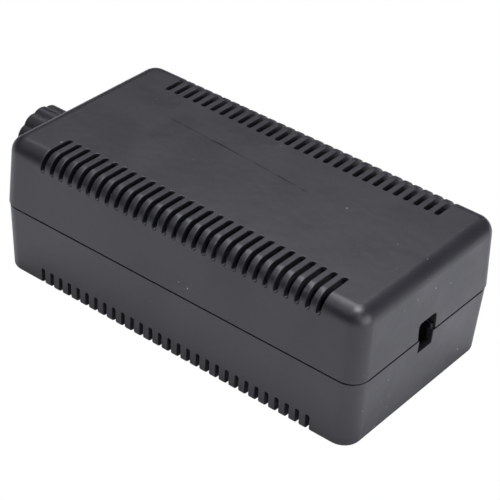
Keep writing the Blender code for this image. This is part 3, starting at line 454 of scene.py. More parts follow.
class EffectShop:
    """Builds each shared shader group once."""

    def __init__(self) -> None:
        """Builds all groups."""
        self.groups: dict[Effect, bpy.types.NodeTree] = {}
        self._grain()
        self._ripple()
        self._dust()
        self._blotch()
        self._wear()
        self._brushed()

    def place(self, graph: Graph, effect: Effect, **inputs: float) -> bpy.types.Node:
        """Places one group in a material.

        Args:
            graph: Graph of the material.
            effect: Which group.
            inputs: Its own values, by socket name.

        Returns:
            The group's node.
        """
        node = graph.node("ShaderNodeGroup", node_tree=self.groups[effect])
        for label, value in inputs.items():
            node.inputs[label].default_value = value
        return node

    def _coordinates(self, graph: Graph) -> bpy.types.NodeSocket:
        """Adds Object coordinates and returns them."""
        return graph.node("ShaderNodeTexCoord").outputs["Object"]

    def _grain(self) -> None:
        """Fine spark-eroded grain: small rounded pits over a slower ripple."""
        graph, ins, outs = new_group(Effect.GRAIN.value, {"Scale": 2600.0}, ["Height", "Tone"])
        place = self._coordinates(graph)
        fine = graph.node(
            "ShaderNodeTexNoise", {"Vector": place, "Scale": ins["Scale"], "Detail": 3.0, "Roughness": 0.6}
        )
        coarse_scale = graph.math("MULTIPLY", ins["Scale"], 0.4)
        pits = graph.node("ShaderNodeTexVoronoi", {"Vector": place, "Scale": coarse_scale})
        pit_height = graph.ramp(pits.outputs["Distance"], 0.05, 0.6, 0.0, 0.6)
        graph.tree.links.new(graph.math("ADD", fine.outputs["Fac"], pit_height), outs["Height"])
        graph.tree.links.new(graph.ramp(fine.outputs["Fac"], 0.3, 0.7, 0.0, 1.0), outs["Tone"])
        self.groups[Effect.GRAIN] = graph.tree

    def _ripple(self) -> None:
        """Shallow waves that shrinking leaves, under the grain."""
        graph, ins, outs = new_group(Effect.RIPPLE.value, {"Scale": 260.0}, ["Height"])
        place = self._coordinates(graph)
        waves = graph.node(
            "ShaderNodeTexNoise", {"Vector": place, "Scale": ins["Scale"], "Detail": 2.0, "Roughness": 0.45}
        )
        graph.tree.links.new(waves.outputs["Fac"], outs["Height"])
        self.groups[Effect.RIPPLE] = graph.tree

    def _dust(self) -> None:
        """Sparse pale specks of several sizes."""
        graph, ins, outs = new_group(Effect.DUST.value, {"Scale": 300.0, "Share": 0.02}, ["Mask"])
        place = self._coordinates(graph)
        cells = graph.node("ShaderNodeTexVoronoi", {"Vector": place, "Scale": ins["Scale"]})
        chance = graph.node("ShaderNodeSeparateColor", {"Color": cells.outputs["Color"]}).outputs
        chosen = graph.math("LESS_THAN", chance["Red"], ins["Share"])
        size = graph.ramp(chance["Green"], 0.0, 1.0, 0.03, 0.085)
        inside = graph.math("LESS_THAN", cells.outputs["Distance"], size)
        faint = graph.ramp(chance["Blue"], 0.0, 1.0, 0.25, 1.0)
        speck = graph.math("MULTIPLY", graph.math("MULTIPLY", chosen, inside), faint)
        graph.tree.links.new(speck, outs["Mask"])
        self.groups[Effect.DUST] = graph.tree

    def _blotch(self) -> None:
        """Slow uneven marks that handling leaves."""
        graph, ins, outs = new_group(Effect.BLOTCH.value, {"Scale": 45.0}, ["Mask"])
        place = self._coordinates(graph)
        noise = graph.node(
            "ShaderNodeTexNoise", {"Vector": place, "Scale": ins["Scale"], "Detail": 4.0, "Distortion": 0.4}
        )
        graph.tree.links.new(graph.ramp(noise.outputs["Fac"], 0.35, 0.65, 0.0, 1.0), outs["Mask"])
        self.groups[Effect.BLOTCH] = graph.tree

    def _wear(self) -> None:
        """Rubbed edges: outward edges, broken up by noise."""
        graph, ins, outs = new_group(Effect.WEAR.value, {"Start": 0.52, "Scale": 700.0}, ["Mask"])
        place = self._coordinates(graph)
        edge = graph.math("SUBTRACT", graph.node("ShaderNodeNewGeometry").outputs["Pointiness"], ins["Start"])
        edge = graph.ramp(graph.math("MULTIPLY", edge, 12.0), 0.0, 1.0, 0.0, 1.0)
        noise = graph.node("ShaderNodeTexNoise", {"Vector": place, "Scale": ins["Scale"], "Detail": 3.0})
        broken = graph.ramp(noise.outputs["Fac"], 0.35, 0.6, 0.0, 1.0)
        graph.tree.links.new(graph.math("MULTIPLY", edge, broken), outs["Mask"])
        self.groups[Effect.WEAR] = graph.tree

    def _brushed(self) -> None:
        """Fine lines along X, Y or Z: a noise drawn out by three stretches."""
        inputs = {"Stretch X": 1.0, "Stretch Y": 1.0, "Stretch Z": 1.0, "Scale": 900.0}
        graph, ins, outs = new_group(Effect.BRUSHED.value, inputs, ["Height", "Tone"])
        place = self._coordinates(graph)
        stretch = graph.node(
            "ShaderNodeCombineXYZ",
            {"X": ins["Stretch X"], "Y": ins["Stretch Y"], "Z": ins["Stretch Z"]},
        )
        drawn = graph.node(
            "ShaderNodeVectorMath", {0: place, 1: stretch.outputs[0]}, operation="MULTIPLY"
        )
        lines = graph.node(
            "ShaderNodeTexNoise", {"Vector": drawn.outputs[0], "Scale": ins["Scale"], "Detail": 4.0}
        )
        graph.tree.links.new(lines.outputs["Fac"], outs["Height"])
        graph.tree.links.new(graph.ramp(lines.outputs["Fac"], 0.3, 0.7, 0.0, 1.0), outs["Tone"])
        self.groups[Effect.BRUSHED] = graph.tree


EFFECTS = EffectShop()


def new_material(name: str) -> tuple[bpy.types.Material, Graph, bpy.types.Node]:
    """Makes a node material with a Principled BSDF.

    Args:
        name: Name of the material.

    Returns:
        The material, its graph and its shader.
    """
    material = bpy.data.materials.new(name)
    material.use_nodes = True
    material.node_tree.nodes.clear()
    graph = Graph(material.node_tree)
    shader = graph.node("ShaderNodeBsdfPrincipled")
    graph.node("ShaderNodeOutputMaterial", {"Surface": shader.outputs["BSDF"]})
    return material, graph, shader


# ---------------------------------------------------------------- finishes


@dataclass(frozen=True)
class FlowLine:
    """The faint line that the melt left along the middle of the case's top face."""

    slope: float = -0.066
    offset: float = 6.2 * MM
    waver: float = 1.6 * MM
    half_width: Pair = (0.1 * MM, 0.3 * MM)
    back_end: Pair = (-39.5 * MM, -35.0 * MM)
    front_end: Pair = (15.0 * MM, 19.5 * MM)
    lowest: float = 44.0 * MM
    colour: Colour = (0.003, 0.003, 0.004)

    def mask(self, graph: Graph) -> bpy.types.NodeSocket:
        """Draws the line.

        Args:
            graph: Graph of the material.

        Returns:
            Mask of the line.
        """
        place = graph.node("ShaderNodeTexCoord").outputs["Object"]
        x, y, z = graph.node("ShaderNodeSeparateXYZ", {"Vector": place}).outputs
        noise = graph.node("ShaderNodeTexNoise", {"Vector": place, "Scale": 60.0, "Detail": 2.0})
        shift = graph.math("MULTIPLY", graph.math("SUBTRACT", noise.outputs["Fac"], 0.5), self.waver)
        middle = graph.math("MULTIPLY_ADD", x, self.slope, self.offset)
        off = graph.math("ABSOLUTE", graph.math("SUBTRACT", graph.math("ADD", y, shift), middle))
        line = graph.ramp(off, *self.half_width, 1.0, 0.0)
        ends = graph.math(
            "MULTIPLY", graph.ramp(x, *self.back_end, 0.0, 1.0), graph.ramp(x, *self.front_end, 1.0, 0.0)
        )
        on_top = graph.math("GREATER_THAN", z, self.lowest)
        breaks = graph.node("ShaderNodeTexNoise", {"Vector": place, "Scale": 140.0}).outputs["Fac"]
        shown = graph.math("MULTIPLY", on_top, graph.ramp(breaks, 0.3, 0.6, 0.35, 1.0))
        return graph.math("MULTIPLY", graph.math("MULTIPLY", line, ends), shown)


@dataclass(frozen=True)
class MouldedFinish:
    """A moulded plastic or rubber with grain, dust and slightly uneven gloss."""

    name: str
    colour: Colour
    pale: Colour
    roughness: float = 0.45
    grain_size: float = 0.4 * MM
    grain_depth: float = 0.005 * MM
    ripple_scale: float = 320.0
    ripple_depth: float = 0.06 * MM
    dust_share: float = 0.012
    wear: float = 0.3
    flow_line: FlowLine | None = None

    def make(self) -> bpy.types.Material:
        """Builds the material."""
        material, graph, shader = new_material(self.name)
        grain = EFFECTS.place(graph, Effect.GRAIN, Scale=1.0 / self.grain_size)
        blotch = EFFECTS.place(graph, Effect.BLOTCH, Scale=45.0).outputs["Mask"]
        wear = EFFECTS.place(graph, Effect.WEAR, Start=0.52).outputs["Mask"]
        dust = EFFECTS.place(graph, Effect.DUST, Scale=300.0, Share=self.dust_share).outputs["Mask"]
        dark = tuple(part * 0.94 for part in self.colour)
        shade = graph.mix(grain.outputs["Tone"], dark, self.colour)
        light = tuple(part * 1.1 for part in self.colour)
        shade = graph.mix(graph.math("MULTIPLY", blotch, 0.6), shade, light)
        shade = graph.mix(graph.math("MULTIPLY", wear, self.wear), shade, self.pale)
        if self.flow_line:
            line = self.flow_line.mask(graph)
            shade = graph.mix(graph.math("MULTIPLY", line, 0.9), shade, self.flow_line.colour)
            graph.feed(shader, Specular_IOR_Level=graph.ramp(line, 0.0, 1.0, 0.5, 0.12))
        shade = graph.mix(graph.math("MULTIPLY", dust, 0.8), shade, (0.42, 0.42, 0.44))
        gloss = graph.ramp(blotch, 0.0, 1.0, self.roughness + 0.03, self.roughness - 0.03)
        gloss = graph.math("ADD", gloss, graph.math("MULTIPLY", dust, 0.3))
        ripple = EFFECTS.place(graph, Effect.RIPPLE, Scale=self.ripple_scale).outputs["Height"]
        waves = graph.bump(ripple, self.ripple_depth)
        normal = graph.bump(grain.outputs["Height"], self.grain_depth, waves)
        graph.feed(shader, Base_Color=shade, Roughness=gloss, Normal=normal)
        return material


@dataclass(frozen=True)
class MetalFinish:
    """A metal with drawn or brushed lines, slight tarnish and rubbed edges."""

    name: str
    colour: Colour
    tarnish: Colour
    roughness: float = 0.3
    stretch: Triple = (1.0, 1.0, 0.04)
    line_depth: float = 0.004 * MM

    def make(self) -> bpy.types.Material:
        """Builds the material."""
        material, graph, shader = new_material(self.name)
        shader.inputs["Metallic"].default_value = 1.0
        stretches = dict(zip(("Stretch X", "Stretch Y", "Stretch Z"), self.stretch))
        lines = EFFECTS.place(graph, Effect.BRUSHED, Scale=2200.0, **stretches)
        blotch = EFFECTS.place(graph, Effect.BLOTCH, Scale=160.0).outputs["Mask"]
        wear = EFFECTS.place(graph, Effect.WEAR, Start=0.53).outputs["Mask"]
        shade = graph.mix(graph.math("MULTIPLY", blotch, 0.5), self.colour, self.tarnish)
        bright = tuple(min(1.0, part * 1.15) for part in self.colour)
        shade = graph.mix(graph.math("MULTIPLY", wear, 0.5), shade, bright)
        gloss = graph.ramp(lines.outputs["Tone"], 0.0, 1.0, self.roughness - 0.06, self.roughness + 0.08)
        normal = graph.bump(lines.outputs["Height"], self.line_depth)
        graph.feed(shader, Base_Color=shade, Roughness=gloss, Normal=normal)
        return material


@dataclass(frozen=True)
class LaminateFinish:
    """Pressed sheet: solder mask over copper tracks, or plain brown phenolic paper."""

    name: str
    colour: Colour
    raised: Colour
    track_pitch: float
    track_share: float
    fibre_size: float = 0.5 * MM
    relief: float = 0.02 * MM

    def make(self) -> bpy.types.Material:
        """Builds the material: square-cornered tracks seen through the mask, over a fibre weave."""
        material, graph, shader = new_material(self.name)
        place = graph.node("ShaderNodeTexCoord").outputs["Object"]
        cells = graph.node(
            "ShaderNodeTexVoronoi",
            {"Vector": place, "Scale": 1.0 / self.track_pitch, "Randomness": 0.75},
            distance="CHEBYCHEV",
            feature="F2",
        )
        tracks = graph.ramp(cells.outputs["Distance"], self.track_share, self.track_share + 0.03, 1.0, 0.0)
        fibres = {"Vector": place, "Scale": 1.0 / self.fibre_size, "Detail": 3.0}
        weave = graph.node("ShaderNodeTexNoise", fibres)
        blotch = EFFECTS.place(graph, Effect.BLOTCH, Scale=90.0).outputs["Mask"]
        dark = tuple(part * 0.8 for part in self.colour)
        shade = graph.mix(weave.outputs["Fac"], dark, self.colour)
        shade = graph.mix(tracks, shade, self.raised)
        gloss = graph.ramp(blotch, 0.0, 1.0, 0.3, 0.42)
        height = graph.math("MULTIPLY_ADD", tracks, 2.0, weave.outputs["Fac"])
        graph.feed(shader, Base_Color=shade, Roughness=gloss, Normal=graph.bump(height, self.relief))
        return material


@dataclass(frozen=True)
class SleeveFinish:
    """Heat-shrunk capacitor sleeve: dark film with a pale stripe up one side and a bare metal top."""

    name: str
    colour: Colour
    stripe: Colour
    top_height: float
    centre_y: float
    stripe_reach: float
    metal: Colour = (0.68, 0.69, 0.71)
    grain_depth: float = 0.006 * MM

    def make(self) -> bpy.types.Material:
        """Builds the material; the stripe is on the -Y side, the metal shows above the sleeve."""
        material, graph, shader = new_material(self.name)
        place = graph.node("ShaderNodeTexCoord").outputs["Object"]
        y, z = graph.node("ShaderNodeSeparateXYZ", {"Vector": place}).outputs[1:3]
        grain = EFFECTS.place(graph, Effect.GRAIN, Scale=3000.0)
        blotch = EFFECTS.place(graph, Effect.BLOTCH, Scale=120.0).outputs["Mask"]
        stripe = graph.math("LESS_THAN", y, self.centre_y - self.stripe_reach)
        bare = graph.math("GREATER_THAN", z, self.top_height)
        dark = tuple(part * 0.75 for part in self.colour)
        shade = graph.mix(graph.math("MULTIPLY", blotch, 0.5), self.colour, dark)
        shade = graph.mix(stripe, shade, self.stripe)
        shade = graph.mix(bare, shade, self.metal)
        gloss = graph.ramp(grain.outputs["Tone"], 0.0, 1.0, 0.24, 0.34)
        normal = graph.bump(grain.outputs["Height"], self.grain_depth)
        graph.feed(shader, Base_Color=shade, Metallic=bare, Roughness=gloss, Normal=normal)
        return material


@dataclass(frozen=True)
class GlassFinish:
    """Clear tube glass with faint smears."""

    name: str
    tint: Colour

    def make(self) -> bpy.types.Material:
        """Builds the material."""
        material, graph, shader = new_material(self.name)
        shader.inputs["Transmission Weight"].default_value = 1.0
        shader.inputs["IOR"].default_value = 1.47
        blotch = EFFECTS.place(graph, Effect.BLOTCH, Scale=300.0).outputs["Mask"]
        clearer = tuple(min(1.0, part * 1.04) for part in self.tint)
        gloss = graph.ramp(blotch, 0.0, 1.0, 0.02, 0.12)
        graph.feed(shader, Base_Color=graph.mix(blotch, self.tint, clearer), Roughness=gloss)
        return material


class Finishes:
    """All finishes of the regulator, by the record's material slots."""

    def __init__(self) -> None:
        """Builds every material once."""
        sleeve_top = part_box("capacitor_1")[1].z - 0.25 * MM
        sleeve_middle = axis_of(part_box("capacitor_1"))[1]
        black = (0.012, 0.012, 0.013)
        brown = (0.19, 0.085, 0.028)
        mask_green = (0.010, 0.075, 0.032)
        recipes = (
            MouldedFinish(
                "case_plastic",
                (0.0135, 0.0135, 0.0165),
                (0.04, 0.04, 0.045),
                roughness=0.4,
                dust_share=0.2,
                flow_line=FlowLine(),
            ),
            MouldedFinish(
                "knob_plastic",
                (0.016, 0.016, 0.018),
                (0.07, 0.07, 0.075),
                roughness=0.36,
                grain_size=0.3 * MM,
                wear=0.5,
            ),
            MetalFinish("zinc_steel", (0.66, 0.67, 0.69), (0.45, 0.45, 0.44)),
            MetalFinish("turned_brass", (0.80, 0.62, 0.31), (0.55, 0.40, 0.20), stretch=(0.04, 1.0, 1.0)),
            MetalFinish("extruded_aluminium", (0.80, 0.81, 0.82), (0.62, 0.63, 0.65), roughness=0.38),
            LaminateFinish("phenolic_wafer", brown, (0.17, 0.075, 0.025), 9.0 * MM, 0.2),
            LaminateFinish("board_laminate", mask_green, (0.022, 0.14, 0.055), 5.2 * MM, 0.62),
            MouldedFinish("black_epoxy", black, (0.05, 0.05, 0.05), roughness=0.5, grain_size=0.2 * MM),
            SleeveFinish(
                "capacitor_sleeve",
                (0.010, 0.014, 0.045),
                (0.55, 0.57, 0.60),
                sleeve_top,
                sleeve_middle,
                stripe_reach=6.6 * MM,
            ),
            MouldedFinish("terminal_green", (0.018, 0.21, 0.075), (0.10, 0.36, 0.18), roughness=0.4),
            MouldedFinish("white_nylon", (0.66, 0.65, 0.60), (0.75, 0.75, 0.72), roughness=0.42),
            MouldedFinish("silicone_pad", (0.33, 0.33, 0.34), (0.42, 0.42, 0.43), roughness=0.7),
            MouldedFinish(
                "film_capacitor_red",
                (0.36, 0.028, 0.012),
                (0.50, 0.10, 0.06),
                roughness=0.25,
                grain_size=0.9 * MM,
            ),
            GlassFinish("clear_glass", (0.93, 0.96, 0.95)),
            MouldedFinish("red_insulation", (0.46, 0.016, 0.012), (0.55, 0.10, 0.09), roughness=0.38),
            MouldedFinish("yellow_insulation", (0.70, 0.46, 0.02), (0.75, 0.55, 0.15), roughness=0.38),
            MouldedFinish("black_insulation", black, (0.06, 0.06, 0.06), roughness=0.38),
            MouldedFinish("pointer_paint", (0.62, 0.62, 0.60), (0.7, 0.7, 0.7), roughness=0.5),
            MouldedFinish(
                "resistor_coat", (0.36, 0.24, 0.12), (0.45, 0.34, 0.2), roughness=0.35, grain_size=0.6 * MM
            ),
        )
        self.materials = {recipe.name: recipe.make() for recipe in recipes}

    def __getitem__(self, slot: str) -> bpy.types.Material:
        """Returns the material of a slot."""
        return self.materials[slot]

    def dress_cad_nodes(self) -> None:
        """Gives each shown CAD node the finish of its own slot, found by the name of its first material."""
        for name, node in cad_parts.items():
            if node.hide_render:
                continue
            given = node.data.materials[0].name.split(".")[0] if node.data.materials else ""
            if given not in self.materials:
                raise KeyError(f"{name} has no slot: {given!r}")
            for index in range(len(node.data.materials)):
                node.data.materials[index] = self.materials[given]
            LOG.info("%s keeps its CAD shape, finish %s", name, given)


# ---------------------------------------------------------------- case


@dataclass(frozen=True)
class OutletForm:
    """Sizes of the stepped cable outlet in the +X wall."""

    middle: float = -0.7 * MM
    lower_shift: float = 0.45 * MM
    half_upper: float = 4.2 * MM
    half_lower: float = 3.35 * MM
    rise: float = 5.6 * MM
    drop: float = 4.8 * MM
    chamfer: float = 0.8 * MM
    cut_depth: float = 5.0 * MM


@dataclass
class CaseForm:
    """Sizes that both halves of the case share; overall sizes come from the CAD shells."""

    wall: float = 2.2 * MM
    corner_radius: float = 5.5 * MM
    edge_radius: float = 4.7 * MM
    lower_edge_radius: float = 1.2 * MM
    draft_slope: float = 0.036
    seam_gap: float = 0.5 * MM
    lip: float = 1.0 * MM
    tongue_height: float = 1.45 * MM
    gap: float = 0.3 * MM
    slot_pitch: float = 3.5 * MM
    slot_width: float = 1.6 * MM
    lower_slot_width: float = 1.35 * MM
    slot_reach: float = 12.7 * MM
    slot_drop: float = 5.5 * MM
    slot_shift: float = 0.7 * MM
    slot_count: int = 29
    control_hole: float = 4.0 * MM
    outlet: OutletForm = field(default_factory=OutletForm)
    end_seam_step: float = 0.25 * MM
    rim_round: float = 0.2 * MM
    corner_steps: int = 14
    edge_steps: int = 12
    half_length: float = field(init=False)
    half_width: float = field(init=False)
    height: float = field(init=False)

    def __post_init__(self) -> None:
        """Takes the overall sizes from the CAD shells."""
        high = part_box("top_shell")[1]
        self.half_length, self.half_width, self.height = high.x, high.y, high.z

    @property
    def seam(self) -> float:
        """Height of the seam between the halves."""
        return self.height / 2


@dataclass
class HalfShell:
    """One half of the case, with its slots, posts, holes and fine rounds."""

    form: CaseForm
    name: str
    is_top: bool
    set_in: float

    def height_of(self, depth: float) -> float:
        """Turns a depth under the half's outer face into a height."""
        return self.form.height - depth if self.is_top else depth

    def add_form(
        self, bm: bmesh.types.BMesh, inset: float, near: float, far: float, edge_radius: float = 0.0
    ) -> None:
        """Adds a drafted block with rounded corners, the case's own outline drawn in by an inset.

        Args:
            bm: Mesh that receives the block.
            inset: How far it is drawn in.
            near: Depth of its outer face.
            far: Depth of its open end.
            edge_radius: Radius of the edge round its outer face.
        """
        form = self.form
        start = near + edge_radius
        verts = bmesh.ops.create_cube(bm, size=2.0)["verts"]
        for vert in verts:
            depth = start if vert.co.z < 0 else far
            drawn = self.set_in + inset + form.draft_slope * (form.seam - depth)
            vert.co.x *= form.half_length - drawn
            vert.co.y *= form.half_width - drawn
            vert.co.z = self.height_of(depth)
        bmesh.ops.recalc_face_normals(bm, faces=bm.faces)
        upright = [edge for edge in edges_of(verts) if abs(edge.verts[0].co.z - edge.verts[1].co.z) > MM]
        round_edges(bm, upright, form.corner_radius - inset, form.corner_steps)
        level = self.height_of(start)
        face = min(bm.faces, key=lambda face: abs(face.calc_center_median().z - level))
        steps = form.edge_steps if edge_radius else 0
        for step in range(steps):
            turned, after = QUARTER * step / steps, QUARTER * (step + 1) / steps
            rise = edge_radius * (math.sin(after) - math.sin(turned))
            drawn = edge_radius * (math.cos(turned) - math.cos(after)) + form.draft_slope * rise
            bmesh.ops.inset_region(bm, faces=[face], thickness=drawn, use_boundary=True, use_even_offset=True)
            up = rise if self.is_top else -rise
            bmesh.ops.translate(bm, verts=face.verts[:], vec=(0.0, 0.0, up))

    def slot_cutters(self) -> bmesh.types.BMesh:
        """Builds the cutters of both slot rows: open at the sides, round at both ends.

        Returns:
            A mesh with one closed cutter for each slot.
        """
        form = self.form
        bm = bmesh.new()
        inner = form.half_width - form.slot_reach
        outer = form.half_width + form.wall
        drop = self.height_of(form.slot_drop)
        floor, roof = sorted((drop, self.height_of(-form.wall)))
        half = (form.slot_width if self.is_top else form.lower_slot_width) / 2
        for side in (-1, 1):
            low_y, high_y = sorted((side * inner, side * outer))
            for index in range(form.slot_count):
                x = form.slot_shift + (index - (form.slot_count - 1) / 2) * form.slot_pitch
                verts = add_block(bm, (x - half, low_y, floor), (x + half, high_y, roof))
                ends = [
                    edge
                    for edge in edges_of(verts)
                    if abs(edge.verts[0].co.x - edge.verts[1].co.x) < TINY
                    and (
                        all(abs(vert.co.y - side * inner) < TINY for vert in edge.verts)
                        or all(abs(vert.co.z - drop) < TINY for vert in edge.verts)
                    )
                ]
                round_edges(bm, ends, half * 0.99, 6)
        return bm

    def outlet_cutter(self, bm: bmesh.types.BMesh) -> None:
        """Adds the cutter of the stepped cable outlet in the +X wall.

        Args:
            bm: Mesh that receives it.
        """
        form, outlet = self.form, self.form.outlet
        start = form.half_length - outlet.cut_depth
        top, bottom = form.seam + outlet.rise, form.seam - outlet.drop
        meet = form.seam - form.seam_gap / 2
        left, right = outlet.middle - outlet.half_upper, outlet.middle + outlet.half_upper
        lower_middle = outlet.middle + outlet.lower_shift
        lower_left, lower_right = lower_middle - outlet.half_lower, lower_middle + outlet.half_lower
        outline = [
            (right, meet),
            (right, top - outlet.chamfer),
            (right - outlet.chamfer, top),
            (left + outlet.chamfer, top),
            (left, top - outlet.chamfer),
            (left, meet),
        ]
        if not self.is_top:
            outline += [(lower_left, meet), (lower_left, bottom), (lower_right, bottom), (lower_right, meet)]
        extruded(bm, [(start, *pair) for pair in outline], (2 * outlet.cut_depth, 0.0, 0.0))

    def control_cutter(self, bm: bmesh.types.BMesh) -> None:
        """Adds the cutter of the control's hole in the -X wall.

        Args:
            bm: Mesh that receives it.
        """
        reach = 5.0 * MM
        rod = add_rod(bm, (0.0, 0.0), self.form.control_hole, -reach, reach, 48)
        turn = Matrix.Rotation(QUARTER, 4, "Y")
        place = Matrix.Translation((-self.form.half_length, 0.0, self.form.seam))
        bmesh.ops.transform(bm, matrix=place @ turn, verts=rod)

    def blank(self) -> bpy.types.Object:
        """Builds the hollow half with its rim; each half has its own.

        Returns:
            The half without posts, slots and holes.
        """
        form = self.form
        depth = form.seam - form.seam_gap / 2
        bm = bmesh.new()
        self.add_form(bm, 0.0, 0.0, depth, form.edge_radius if self.is_top else form.lower_edge_radius)
        shell = as_object(self.name, bm)
        if not self.is_top:
            bm = bmesh.new()
            self.add_form(bm, form.lip + form.gap - self.set_in, depth / 2, depth + form.tongue_height)
            combine(shell, bm, Join.ADD)
        bm = bmesh.new()
        self.add_form(bm, form.wall, form.wall, form.seam + 3 * MM, form.edge_radius - form.wall)
        combine(shell, bm, Join.CUT)
        if self.is_top:
            bm = bmesh.new()
            self.add_form(bm, form.lip, depth - form.tongue_height, form.seam + 3 * MM)
            combine(shell, bm, Join.CUT)
        return shell


@dataclass
class Case:
    """The two half shells."""

    finishes: Finishes
    form: CaseForm = field(default_factory=CaseForm)
    upper_post_radius: float = 3.5 * MM
    lower_post_radius: float = 4.4 * MM
    screw_hole: float = 1.8 * MM
    pocket_radius: float = 3.1 * MM
    pocket_depth: float = 6.0 * MM
    screw_grip: float = 12.4 * MM
    standoff_radius: float = 3.0 * MM
    standoff_height: float = 4.7 * MM
    board_hole: float = 1.5 * MM
    board_hole_top: float = 9.0 * MM
    guide_sides: Pair = (4.8 * MM, 6.0 * MM)
    guide_ends: Pair = (4.6 * MM, 1.9 * MM)

    def post_places(self) -> list[Pair]:
        """Finds the axes of the four case screws."""
        return [axis_of(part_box(f"case_screw_{number}")) for number in SCREW_NUMBERS]

    def build_top(self) -> bpy.types.Object:
        """Builds the upper half.

        Returns:
            The finished piece.
        """
        form = self.form
        half = HalfShell(form, "top_shell_moulded", True, 0.0)
        shell = half.blank()
        rim = form.seam + form.seam_gap / 2
        bm = bmesh.new()
        for post in self.post_places():
            add_rod(bm, post, self.upper_post_radius, rim, form.height - form.wall / 2)
        combine(shell, bm, Join.ADD)
        combine(shell, half.slot_cutters(), Join.CUT)
        bm = bmesh.new()
        for post in self.post_places():
            add_rod(bm, post, self.screw_hole, form.seam - form.wall, form.seam + self.screw_grip)
        half.outlet_cutter(bm)
        half.control_cutter(bm)
        combine(shell, bm, Join.CUT)
        soften(shell, form.rim_round)
        return dress(shell, self.finishes["case_plastic"], "case", "case_plastic", "top_shell")

    def build_bottom(self) -> bpy.types.Object:
        """Builds the lower half.

        Returns:
            The finished piece.
        """
        form = self.form
        half = HalfShell(form, "bottom_shell_moulded", False, 0.2 * MM)
        shell = half.blank()
        rim = form.seam - form.seam_gap / 2
        bm = bmesh.new()
        for post in self.post_places():
            add_rod(bm, post, self.lower_post_radius, form.wall / 2, rim)
        spots = [axis_of(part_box(f"board_screw_{number}")) for number in SCREW_NUMBERS]
        for spot in spots:
            add_rod(bm, spot, self.standoff_radius, form.wall / 2, form.wall + self.standoff_height)
        back = form.half_length - form.wall - self.guide_ends[0]
        front = form.half_length - self.guide_ends[1]
        for side in (-1, 1):
            near, far = sorted(form.outlet.middle + side * reach for reach in self.guide_sides)
            add_block(bm, (back, near, form.edge_radius), (front, far, rim))
        combine(shell, bm, Join.ADD)
        combine(shell, half.slot_cutters(), Join.CUT)
        bm = bmesh.new()
        for post in self.post_places():
            add_rod(bm, post, self.pocket_radius, -form.wall, self.pocket_depth)
        half.outlet_cutter(bm)
        half.control_cutter(bm)
        combine(shell, bm, Join.CUT)
        bm = bmesh.new()
        reach = form.half_width - form.corner_radius
        low = (form.half_length - form.lip - 0.1 * MM, -reach, rim - form.end_seam_step)
        add_block(bm, low, (form.half_length + form.wall, reach, rim + form.end_seam_step))
        for post in self.post_places():
            add_rod(bm, post, self.screw_hole, form.wall, form.height)
        for spot in spots:
            add_rod(bm, spot, self.board_hole, form.wall, self.board_hole_top)
        combine(shell, bm, Join.CUT)
        soften(shell, form.rim_round)
        return dress(shell, self.finishes["case_plastic"], "case", "case_plastic", "bottom_shell")

    def build(self) -> list[bpy.types.Object]:
        """Builds both halves."""
        return [self.build_top(), self.build_bottom()]


# ---------------------------------------------------------------- control


